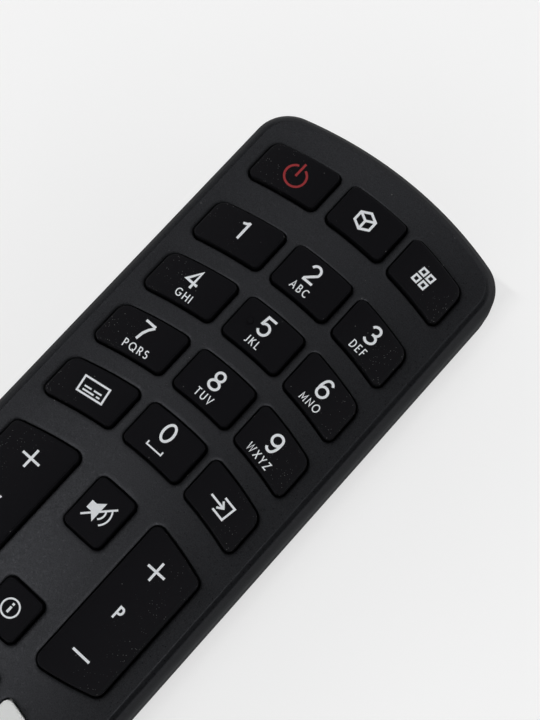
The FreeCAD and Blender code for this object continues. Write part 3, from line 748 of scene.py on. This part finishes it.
# Each letter's half width and strokes in a box 1 high, with x from the middle
LETTERS = {
    "A": (0.3, [([(-0.3, 0), (0, 0.98), (0.3, 0)], False), ([(-0.19, 0.33), (0.19, 0.33)], False)]),
    "B": (0.22, [([(-0.2, 0.05), (-0.2, 0.95)] + arc(0, 0.74, 0.17, 0.21, 90, -90, 7)
                  + [(-0.2, 0.53)], False),
                 ([(-0.2, 0.53)] + arc(0.02, 0.29, 0.2, 0.24, 90, -90, 7)
                  + [(-0.2, 0.05)], False)]),
    "C": (0.3, [(arc(0.05, 0.5, 0.34, 0.45, 48, 312, 16), False)]),
    "D": (0.28, [([(-0.24, 0.05), (-0.24, 0.95)]
                  + arc(-0.06, 0.5, 0.33, 0.45, 90, -90, 12), True)]),
    "E": (0.2, [([(0.21, 0.95), (-0.18, 0.95), (-0.18, 0.05), (0.22, 0.05)], False),
                ([(-0.18, 0.52), (0.16, 0.52)], False)]),
    "F": (0.18, [([(0.21, 0.95), (-0.17, 0.95), (-0.17, 0)], False),
                 ([(-0.17, 0.5), (0.15, 0.5)], False)]),
    "G": (0.34, [(arc(0.03, 0.5, 0.36, 0.45, 50, 315, 16) + [(0.32, 0.46), (0.06, 0.46)], False)]),
    "H": (0.27, [([(-0.26, 0), (-0.26, 1)], False), ([(0.26, 0), (0.26, 1)], False),
                 ([(-0.26, 0.52), (0.26, 0.52)], False)]),
    "I": (0.0, [([(0, 0), (0, 1)], False)]),
    "J": (0.12, [([(0.1, 1), (0.1, 0.22)] + arc(-0.05, 0.2, 0.15, 0.16, -10, -120, 6), False)]),
    "K": (0.23, [([(-0.2, 0), (-0.2, 1)], False), ([(0.22, 0.98), (-0.18, 0.47)], False),
                 ([(-0.06, 0.6), (0.25, 0.02)], False)]),
    "L": (0.18, [([(-0.16, 1), (-0.16, 0.05), (0.21, 0.05)], False)]),
    "M": (0.34, [([(-0.33, 0), (-0.29, 0.9), (0, 0.22), (0.29, 0.9), (0.33, 0)], False)]),
    "N": (0.27, [([(-0.26, 0), (-0.26, 0.88), (0.26, 0.12), (0.26, 1)], False)]),
    "O": (0.37, [(arc(0, 0.5, 0.37, 0.45, 0, 345, 24), True)]),
    "P": (0.2, [([(-0.19, 0), (-0.19, 0.95)] + arc(0, 0.71, 0.2, 0.24, 90, -90, 7)
                 + [(-0.19, 0.47)], False)]),
    "Q": (0.37, [(arc(0, 0.5, 0.37, 0.45, 0, 345, 24), True),
                 ([(0.08, 0.27), (0.35, -0.05)], False)]),
    "R": (0.22, [([(-0.19, 0), (-0.19, 0.95)] + arc(0, 0.71, 0.19, 0.24, 90, -90, 7)
                  + [(-0.19, 0.47)], False), ([(0.0, 0.47), (0.24, 0.02)], False)]),
    "S": (0.2, [(arc(0, 0.735, 0.18, 0.215, 30, 260, 10)
                 + arc(0, 0.29, 0.21, 0.24, 80, -145, 10), False)]),
    "T": (0.25, [([(-0.26, 0.95), (0.26, 0.95)], False), ([(0, 0.95), (0, 0)], False)]),
    "U": (0.25, [([(-0.25, 1), (-0.25, 0.33)] + arc(0, 0.33, 0.25, 0.28, 190, 350, 9)
                  + [(0.25, 0.33), (0.25, 1)], False)]),
    "V": (0.28, [([(-0.29, 1), (0, 0.04), (0.29, 1)], False)]),
    "W": (0.43, [([(-0.43, 1), (-0.22, 0.05), (0, 0.93), (0.22, 0.05), (0.43, 1)], False)]),
    "X": (0.26, [([(-0.26, 0.99), (0.27, 0.01)], False), ([(0.26, 0.99), (-0.27, 0.01)], False)]),
    "Y": (0.26, [([(-0.27, 1), (0, 0.46), (0.27, 1)], False), ([(0, 0.46), (0, 0)], False)]),
    "Z": (0.24, [([(-0.23, 0.95), (0.22, 0.95), (-0.24, 0.05), (0.25, 0.05)], False)]),
}


def letters(bm, text, x, inset, level, height, width, turn=0):
    """Plain letters of one stroke width, placed as a digit is and turned by degrees."""
    centre = Vector((x, tip(inset)))
    halves = [LETTERS[character][0] for character in text]
    length = 2 * sum(halves) + LETTER_GAP * (len(text) - 1)
    turned = Matrix.Rotation(math.radians(turn), 2)
    along = -length / 2
    for character, half in zip(text, halves):
        for points, closed in LETTERS[character][1]:
            placed = [centre + turned @ Vector((along + half + px, py - 0.5)) * height
                      for px, py in points]
            stroke(bm, placed, width, level, closed)
        along += 2 * half + LETTER_GAP


class Pen:
    """Draws pictograms around a place, turned by degrees, with plain x and y offsets."""

    def __init__(self, bm, x, inset, level, turn=0):
        self.bm, self.level = bm, level
        self.centre = Vector((x, tip(inset)))
        self.turn = Matrix.Rotation(math.radians(turn), 2)

    def at(self, x, y):
        return self.centre + self.turn @ Vector((x, y))

    def line(self, *points, closed=False, width=STROKE):
        stroke(self.bm, [self.at(*point) for point in points], width, self.level, closed)

    def fill(self, *points):
        printed(self.bm, lifted(self.bm, [self.at(*point) for point in points], self.level))


def power_mark(pen):
    """An open ring with a bar in its gap."""
    pen.line(*arc(0, -0.3, 1.9, 1.9, 112, 428, 30), width=0.38)
    pen.line((0, -0.3), (0, 2.4), width=0.4)


def cube_mark(pen):
    """A plain box drawn in outline."""
    pen.line((-1.55, 0.85), (0, 1.7), (1.55, 0.85), (1.55, -0.85), (0, -1.7), (-1.55, -0.85),
             closed=True)
    pen.line((-1.5, 0.85), (0, 0.05), (1.5, 0.85))
    pen.line((0, 0.05), (0, -1.6))


def grid_mark(pen):
    """Four small squares."""
    for x in (-0.82, 0.82):
        for y in (-0.82, 0.82):
            pen.line((x - 0.5, y - 0.5), (x + 0.5, y - 0.5), (x + 0.5, y + 0.5), (x - 0.5, y + 0.5),
                     closed=True, width=0.36)


def captions_mark(pen):
    """A screen with two rows of dashes low down."""
    pen.line((-2.3, -1.35), (2.3, -1.35), (2.3, 1.35), (-2.3, 1.35), closed=True, width=THIN_STROKE)
    dashes = ((-0.1, -1.6, -0.3), (-0.1, 0.15, 1.6), (-0.75, -1.6, 0.5), (-0.75, 0.95, 1.6))
    for y, start, end in dashes:
        pen.line((start, y), (end, y), width=0.3)


def source_mark(pen):
    """An arrow into a box."""
    pen.line((-0.3, 1.3), (2.1, 1.3), (2.1, -1.3), (-0.3, -1.3), width=0.36)
    pen.line((-2.2, 0), (0.75, 0), width=0.36)
    pen.line((-0.05, 0.75), (0.85, 0), (-0.05, -0.75), width=0.36)


def mute_mark(pen):
    """A loudspeaker with two waves and a line through it."""
    pen.fill((-2.15, -0.75), (-1.2, -0.75), (0.05, -1.95), (0.05, 1.75), (-1.2, 0.7), (-2.15, 0.7))
    pen.line(*arc(-0.35, 0, 1.35, 1.35, -52, 42, 8), width=0.3)
    pen.line(*arc(-0.35, 0, 2.35, 2.35, -46, 44, 10), width=0.3)
    pen.line((-2.15, -2.15), (2.05, 2.15), width=THIN_STROKE)


def info_mark(pen):
    """A dotted upright bar in a ring."""
    pen.line(*arc(0, 0, 1.5, 1.5, 0, 350, 30), closed=True, width=0.3)
    pen.line((0, -0.8), (0, 0.3), width=0.42)
    pen.line((0, 0.55), (0, 0.95), width=0.42)


def space_mark(pen):
    """A low open bracket."""
    pen.line((-1.5, 0.35), (-1.5, -0.3), (1.5, -0.3), (1.5, 0.35), width=0.28)


def plus_mark(pen):
    minus_mark(pen)
    pen.line((0, -SIGN_HALF), (0, SIGN_HALF), width=SIGN_STROKE)


def minus_mark(pen):
    pen.line((-SIGN_HALF, 0), (SIGN_HALF, 0), width=SIGN_STROKE)


def arrow_mark(pen):
    pen.line((-1.2, -0.5), (0, 0.6), (1.2, -0.5), width=0.4)


def back_mark(pen):
    pen.line((1.3, 1.3), (1.3, -0.2), (-1.4, -0.2), width=THIN_STROKE)
    pen.line((-0.6, 0.6), (-1.5, -0.2), (-0.6, -1.0), width=THIN_STROKE)


def home_mark(pen):
    pen.line((-1.7, 0.0), (0, 1.4), (1.7, 0.0), width=THIN_STROKE)
    pen.line((-1.15, 0.2), (-1.15, -1.4), (1.15, -1.4), (1.15, 0.2), width=THIN_STROKE)


def menu_mark(pen):
    for y in (-1.0, 0.0, 1.0):
        pen.line((-1.6, y), (1.6, y), width=THIN_STROKE)


def rewind_mark(pen):
    pen.fill((-1.7, 0), (-0.1, -1.0), (-0.1, 1.0))
    pen.fill((-0.1, 0), (1.5, -1.0), (1.5, 1.0))


def forward_mark(pen):
    pen.fill((1.7, 0), (0.1, 1.0), (0.1, -1.0))
    pen.fill((0.1, 0), (-1.5, 1.0), (-1.5, -1.0))


def play_mark(pen):
    pen.fill((-1.7, -1.0), (0.0, 0), (-1.7, 1.0))
    pen.line((0.6, -1.0), (0.6, 1.0), width=0.4)
    pen.line((1.4, -1.0), (1.4, 1.0), width=0.4)


# Keys

class Key:
    """One key or rocker: its outline in plan, with rounded corners, and its form."""

    def __init__(self, name, sides, radii, rocker=False):
        self.name = name
        self.outline = rounded(sides, radii)
        self.rocker = rocker

    def level(self, x):
        """Height of the key's top, which falls away at its outer end."""
        beyond = max(0.0, abs(x) - KEY_END)
        return face_level(x, KEY_RISE) - KEY_END_FALL * beyond * beyond

    def mesh(self):
        """A skirt under the shell, upright sides, a rounded edge and the hollow top."""
        low, high, lip = SKIRT_LOW, SKIRT_HIGH, SKIRT_LIP
        if self.rocker:
            low, high, lip = ROCKER_SKIRT_LOW, ROCKER_SKIRT_HIGH, ROCKER_SKIRT_LIP
        bm = bmesh.new()
        skirt = grown(self.outline, lip)
        rows = [ring(bm, skirt, low), ring(bm, skirt, high), ring(bm, self.outline, high)]
        bm.faces.new(reversed(rows[0]))
        rows.append(ring(bm, self.outline, lambda x: self.level(x) - KEY_EDGE))
        for step in range(1, EDGE_STEPS + 1):
            angle = TURN / 4 * step / EDGE_STEPS
            inner = grown(self.outline, -KEY_EDGE * (1 - math.cos(angle)))
            drop = KEY_EDGE * (1 - math.sin(angle))
            rows.append(ring(bm, inner, lambda x: self.level(x) - drop))
        inner = grown(self.outline, -KEY_EDGE - SUPPORT)
        rows.append(ring(bm, inner, self.level))
        bridge(bm, rows)
        join(bm, flat_sheet([inner], self.level))
        return bm


def bowed_key(name, x_low, x_high, y_low, y_high, bows, radii, rocker=False):
    """A key between two straight sides and two bowed ends, radii anticlockwise from low left."""
    bow_low, bow_high = bows
    low = bowed_side(x_low, x_high, y_low, bow_low)
    high = bowed_side(x_high, x_low, y_high, bow_high)
    sides = [low, [low[-1], high[0]], high, [high[-1], low[0]]]
    return Key(name, sides, radii, rocker)


def key_row(names, inset, length=KEY_LENGTH, columns=COLUMNS, rise=0.0):
    """Three keys between the same two bows; the middle one may rise higher."""
    low, high = tip(inset) - length / 2, tip(inset) + length / 2
    bows = (ROW_LOW_BOW, ROW_BOW)
    small, large = SMALL_CORNER, LARGE_CORNER
    return [bowed_key(names[0], *columns[0], low, high, bows, (small, small, small, large)),
            bowed_key(names[1], *columns[1], low, high + rise, bows, (small,) * 4),
            bowed_key(names[2], *columns[2], low, high, bows, (small, small, large, small))]


def pad_key(name, turn, centre_y):
    """A quarter of the direction pad."""
    reach = (math.sqrt(2 * PAD_OUTER * PAD_OUTER - PAD_SPOKE * PAD_SPOKE) - PAD_SPOKE) / 2
    angle = math.atan2(reach + PAD_SPOKE, reach)
    inner_left = Vector((PAD_SPOKE - PAD_INNER, PAD_INNER))
    inner_right = Vector((PAD_INNER - PAD_SPOKE, PAD_INNER))
    outer_left = Vector((-reach, reach + PAD_SPOKE))
    outer_right = Vector((reach, reach + PAD_SPOKE))
    sides = [[inner_left, inner_right], [inner_right, outer_right],
             arc_side(Vector((0, 0)), PAD_OUTER, angle, TURN / 2 - angle),
             [outer_left, inner_left]]
    turned = Matrix.Rotation(math.radians(turn), 2)
    centre = Vector((0, centre_y))
    sides = [[centre + turned @ point for point in side] for side in sides]
    return Key(name, sides, (SMALL_CORNER,) * 4)


def square_key(name, x, y, width, length, radius=SQUARE_CORNER):
    corners = [Vector((x + a * width / 2, y + b * length / 2))
               for a, b in ((-1, -1), (1, -1), (1, 1), (-1, 1))]
    sides = [[corners[i], corners[(i + 1) % 4]] for i in range(4)]
    return Key(name, sides, (radius,) * 4)


def every_key():
    keys = key_row(("key_power", "key_cube", "key_grid"), TOP_ROW)
    digits = (("key_1", "key_2", "key_3"), ("key_4", "key_5", "key_6"),
              ("key_7", "key_8", "key_9"), ("key_captions", "key_0", "key_source"))
    for row, names in enumerate(digits):
        keys += key_row(names, FIRST_DIGIT_ROW + DIGIT_PITCH * row)
    keys += key_row(("key_white_left", "key_menu", "key_white_right"), MENU_ROW, MENU_LENGTH,
                    WIDE_COLUMNS, MENU_RISE)
    bows = (-MIDDLE_BOW, MIDDLE_BOW)
    for name, ends in (("key_mute", MUTE_ENDS), ("key_info", INFO_ENDS)):
        keys.append(bowed_key(name, *MIDDLE_SIDES, *map(tip, ends), bows, (SMALL_CORNER,) * 4))
    bows = (-ROCKER_LOW_BOW, ROW_BOW)
    for name, sides, corners in (("rocker_channel", CHANNEL_SIDES, CHANNEL_CORNERS),
                                 ("rocker_volume", VOLUME_SIDES, VOLUME_CORNERS)):
        keys.append(bowed_key(name, *sides, *map(tip, ROCKER_ENDS), bows, corners, True))
    pad_y = tip(PAD_MIDDLE)
    keys.append(square_key("key_ok", 0, pad_y, OK_SIDE, OK_SIDE, OK_CORNER))
    for name, turn in (("key_up", 0), ("key_left", 90), ("key_down", 180), ("key_right", 270)):
        keys.append(pad_key(name, turn, pad_y))
    for place, name in enumerate(("key_red", "key_green", "key_yellow", "key_blue")):
        keys.append(square_key(name, (place - 1.5) * COLOR_PITCH, tip(COLOR_ROW), *COLOR_SIZE))
    for place, name in enumerate(("key_rewind", "key_play", "key_forward")):
        keys.append(square_key(name, (place - 1) * MEDIA_PITCH, tip(MEDIA_ROW), *MEDIA_SIZE))
    return keys


# What is printed on the keys: each mark with its x, its inset from the infrared end and its
# turn in degrees, each digit with its x and inset, and the letters under a digit
PICTOGRAMS = {
    "key_power": (power_mark, -14.0, 12.69, 0),
    "key_cube": (cube_mark, -0.2, 11.19, 0),
    "key_grid": (grid_mark, 13.6, 12.69, -9),
    "key_captions": (captions_mark, -14.1, 61.99, 10),
    "key_source": (source_mark, 13.7, 62.29, -10),
    "key_mute": (mute_mark, 0.1, 75.74, 0),
    "key_info": (info_mark, 0.0, 95.89, 0),
    "key_menu": (home_mark, 0.0, MENU_ROW - MENU_RISE / 2, 0),
    "key_white_left": (menu_mark, -14.9, 110.49, 10),
    "key_white_right": (back_mark, 14.9, 110.49, -10),
    "key_rewind": (rewind_mark, -MEDIA_PITCH, MEDIA_ROW, 0),
    "key_play": (play_mark, 0.0, MEDIA_ROW, 0),
    "key_forward": (forward_mark, MEDIA_PITCH, MEDIA_ROW, 0),
    "key_up": (arrow_mark, 0.0, PAD_MIDDLE - ARROW_REACH, 0),
    "key_left": (arrow_mark, -ARROW_REACH, PAD_MIDDLE, 90),
    "key_down": (arrow_mark, 0.0, PAD_MIDDLE + ARROW_REACH, 180),
    "key_right": (arrow_mark, ARROW_REACH, PAD_MIDDLE, 270),
}
NUMBERS = {
    "key_1": (-14.25, 25.79), "key_2": (-0.5, 23.84), "key_3": (13.7, 25.44),
    "key_4": (-14.5, 37.34), "key_5": (-0.35, 35.69), "key_6": (13.75, 37.34),
    "key_7": (-14.55, 49.34), "key_8": (-0.25, 47.64), "key_9": (13.7, 49.29),
    "key_0": (-0.3, 59.19),
}
LETTER_GROUPS = {
    "key_2": ("ABC", -0.6, 27.19, 0), "key_3": ("DEF", 13.25, 28.64, -5),
    "key_4": ("GHI", -14.0, 40.64, 5), "key_5": ("JKL", -0.35, 38.99, 0),
    "key_6": ("MNO", 13.4, 40.54, -6), "key_7": ("PQRS", -13.7, 52.44, 10),
    "key_8": ("TUV", -0.25, 50.89, 0), "key_9": ("WXYZ", 13.05, 52.49, -10),
}
ROCKER_LETTERS = {"rocker_channel": ("P", 13.35), "rocker_volume": ("V", -13.85)}


def print_key(bm, key):
    name = key.name
    if name in PICTOGRAMS:
        mark, x, inset, turn = PICTOGRAMS[name]
        mark(Pen(bm, x, inset, key.level, turn))
    if name in NUMBERS:
        digit(bm, name[-1], *NUMBERS[name], key.level)
    if name in LETTER_GROUPS:
        text, x, inset, turn = LETTER_GROUPS[name]
        letters(bm, text, x, inset, key.level, LETTER_HEIGHT, LETTER_STROKE, turn)
    if name == "key_0":
        space_mark(Pen(bm, *SPACE_PLACE, key.level))
    if name == "key_ok":
        letters(bm, "OK", 0, PAD_MIDDLE, key.level, OK_HEIGHT, OK_STROKE)
    if name in ROCKER_LETTERS:
        letter, x = ROCKER_LETTERS[name]
        plus_mark(Pen(bm, x, PLUS_INSET, key.level))
        minus_mark(Pen(bm, x, MINUS_INSET, key.level))
        letters(bm, letter, x, ROCKER_LETTER_INSET, key.level, ROCKER_LETTER_HEIGHT,
                ROCKER_LETTER_STROKE)


def raised_dot(bm, level):
    """The small domed dot on the middle key, by which a finger finds it."""
    x, inset = DOT_PLACE
    circle = arc_side(Vector((x, tip(inset))), DOT_RADIUS, 0, TURN, DOT_SIDES + 1)[:-1]
    rows = []
    for step in range(EDGE_STEPS):
        angle = TURN / 4 * step / EDGE_STEPS
        rows.append(ring(bm, grown(circle, DOT_RADIUS * (math.cos(angle) - 1)),
                         level(x) - DOT_SINK + DOT_HEIGHT * math.sin(angle)))
    bridge(bm, rows)
    bm.faces.new(rows[-1])


SLOTS = {part["node"]: part["material_slot"] for part in frame["record"]["subparts"]}


def make_key(key):
    bm = key.mesh()
    print_key(bm, key)
    if key.name == "key_5":
        raised_dot(bm, key.level)
    ink = PALE_PRINT
    if key.name == "key_power":
        ink = RED_PRINT
    if key.name.startswith("key_white"):
        ink = GREY_PRINT
    look = SLOTS[key.name]
    piece = finished(bm, "cap_" + key.name.split("_", 1)[1], (LOOKS[look], ink), key.name)
    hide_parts(key.name)


# Upper shell

def shoulder():
    """Each row's inset and its drop below the face's edge, down the shoulder and the side."""
    inset, drop = FACE_INSET, 0.0
    rows = []
    for radius, start, end, steps in SHOULDER_ARCS:
        for step in range(steps):
            before = math.radians(start + (end - start) * step / steps)
            after = math.radians(start + (end - start) * (step + 1) / steps)
            inset -= radius * (math.sin(after) - math.sin(before))
            drop += radius * (math.cos(before) - math.cos(after))
            rows.append((inset, drop))
    return rows


def hole_wall(bm, outline):
    """Rows from the face down one opening: the roll, the small round and the upright wall."""
    rows = []
    for share in (0, 1 / 3, 2 / 3, 1):
        out = KEY_GAP + HOLE_EDGE + ROLL_WIDTH * (1 - share)
        rows.append(ring(bm, grown(outline, out), below_face(ROLL_DROP * share * share)))
    for angle in (TURN / 12, TURN / 6, TURN / 4):
        out = KEY_GAP + HOLE_EDGE * (1 - math.sin(angle))
        drop = ROLL_DROP + HOLE_EDGE * (1 - math.cos(angle))
        rows.append(ring(bm, grown(outline, out), below_face(drop)))
    rows.append(ring(bm, grown(outline, KEY_GAP), below_face(WALL)))
    bridge(bm, rows)


def make_shell(keys):
    """The upper shell: face, shoulder, sides, groove for the lower shell, ceiling and openings."""
    bm = bmesh.new()
    border = case_outline(FACE_INSET + SUPPORT)
    rims = [grown(key.outline, KEY_GAP + HOLE_EDGE + ROLL_WIDTH) for key in keys]
    join(bm, flat_sheet([border] + rims, face_level))
    rows = [ring(bm, border, face_level), ring(bm, case_outline(FACE_INSET), face_level)]
    for inset, drop in shoulder():
        rows.append(ring(bm, case_outline(inset), below_face(drop)))
    groove_outer, groove_inner = GROOVE_SIDES
    for inset, level in ((0.0, PARTING + SHELL_LIP), (LIP_MIDDLE, PARTING + LIP_MIDDLE),
                         (SHELL_LIP, PARTING), (groove_outer, PARTING),
                         (groove_outer, PARTING + GROOVE_RISE),
                         (groove_inner, PARTING + GROOVE_RISE), (CEILING_INSET, below_face(WALL))):
        rows.append(ring(bm, case_outline(inset), level))
    bridge(bm, rows[::-1])
    holes = [grown(key.outline, KEY_GAP) for key in keys]
    ceiling = flat_sheet([case_outline(CEILING_INSET)] + holes, below_face(WALL))
    for face in ceiling.faces:
        face.normal_flip()
    join(bm, ceiling)
    for key in keys:
        hole_wall(bm, key.outline)
    piece = finished(bm, "upper_shell", (LOOKS["case_plastic"],), "case")
    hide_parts("top_case")


KEYS = every_key()
for each in KEYS:
    make_key(each)
make_shell(KEYS)

# The CAD nodes that stay as they are get their looks by slot
replaced = {key.name for key in KEYS} | {"top_case"}
for node, piece in frame["nodes"].items():
    if node not in replaced:
        piece.data.materials.clear()
        piece.data.materials.append(LOOKS[SLOTS[node]])


# Floor, light and camera

def make_floor():
    """White paper that glows a little, so that shadows stay faint, and is clear from below."""
    graph = Graph("floor_paper")
    paper = graph.mix(graph.ramp(graph.noise(0.02, 2.0), 0.3, 0.7), (0.38, 0.38, 0.38),
                      (0.39, 0.39, 0.39))
    graph.color(paper)
    graph.rough(graph.ramp(graph.noise(0.5), 0.3, 0.7, 0.88, 0.92))
    beside = graph.absolute(graph.part(graph.place, "X"))
    beyond = graph.absolute(graph.part(graph.place, "Y"))
    shade = graph.math("MAXIMUM", graph.ramp(beside, *SHADE_BESIDE, FLOOR_SHADE, 1.0),
                       graph.ramp(beyond, *SHADE_BEYOND))
    glow = graph.math("MULTIPLY", shade, FLOOR_GLOW)
    graph.link(glow, graph.socket("Emission Strength"))
    graph.set(Emission_Color=(1.0, 1.0, 1.0, 1.0), Specular_IOR_Level=0.1)
    one_sided = graph.new("MixShader")
    graph.link(graph.new("NewGeometry").outputs["Backfacing"], one_sided.inputs["Fac"])
    graph.link(graph.shader.outputs["BSDF"], one_sided.inputs[1])
    graph.link(graph.new("BsdfTransparent").outputs["BSDF"], one_sided.inputs[2])
    graph.link(one_sided.outputs["Shader"], graph.tree.nodes["Material Output"].inputs["Surface"])
    mesh = bpy.data.meshes.new("floor")
    bm = bmesh.new()
    corners = ((-1, -1), (1, -1), (1, 1), (-1, 1))
    level = FLOOR_LEVEL * MM
    bm.faces.new([bm.verts.new((x * FLOOR_HALF, y * FLOOR_HALF, level)) for x, y in corners])
    bm.to_mesh(mesh)
    bm.free()
    mesh.materials.append(graph.material)
    floor = bpy.data.objects.new("floor", mesh)
    bpy.context.collection.objects.link(floor)


def make_world():
    """A dim studio with a pale ring low down and soft lights overhead."""
    world = bpy.data.worlds.new("studio")
    world.use_nodes = True
    tree = world.node_tree
    place = tree.nodes.new("ShaderNodeTexCoord")

    def eased(source, low, high, start, end):
        node = tree.nodes.new("ShaderNodeMapRange")
        node.interpolation_type = "SMOOTHSTEP"
        set_range(node, low, high, start, end)
        tree.links.new(source, node.inputs["Value"])
        return node.outputs["Result"]

    def combined(operation, a, b):
        node = tree.nodes.new("ShaderNodeMath")
        node.operation = operation
        tree.links.new(a, node.inputs[0])
        tree.links.new(b, node.inputs[1])
        return node.outputs[0]

    def towards(direction):
        node = tree.nodes.new("ShaderNodeVectorMath")
        node.operation = "DOT_PRODUCT"
        node.inputs[1].default_value = Vector(direction).normalized()
        tree.links.new(place.outputs["Generated"], node.inputs[0])
        return node.outputs["Value"]

    def spot(direction, near, far, outside, inside):
        """One value within the near angle of a direction and another beyond the far angle."""
        return eased(towards(direction), math.cos(math.radians(far)),
                     math.cos(math.radians(near)), outside, inside)

    level = eased(towards((0, 0, 1)), *RING_HEIGHTS, RING_LIGHT, UPPER_LIGHT)
    for direction, near, far, strength in SOFT_LIGHTS:
        level = combined("ADD", level, spot(direction, near, far, 0.0, strength))
    for direction, near, far, kept in DARK_PATCHES:
        level = combined("MULTIPLY", level, spot(direction, near, far, 1.0, kept))
    tree.links.new(level, tree.nodes["Background"].inputs["Strength"])
    tree.nodes["Background"].inputs["Color"].default_value = (1.0, 1.0, 1.0, 1.0)
    bpy.context.scene.world = world


def make_camera():
    data = bpy.data.cameras.new("camera")
    data.sensor_width = SENSOR
    data.lens = LENS
    data.clip_start, data.clip_end = CLIP
    camera = bpy.data.objects.new("camera", data)
    axes = Matrix((Vector(CAMERA_RIGHT), -Vector(CAMERA_DOWN), -Vector(CAMERA_FORWARD)))
    camera.matrix_world = (Matrix.Translation(Vector(CAMERA_PLACE) * MM)
                           @ axes.transposed().to_4x4())
    bpy.context.collection.objects.link(camera)
    bpy.context.scene.camera = camera


make_floor()
make_world()
make_camera()
bpy.context.scene.view_settings.view_transform = "Standard"
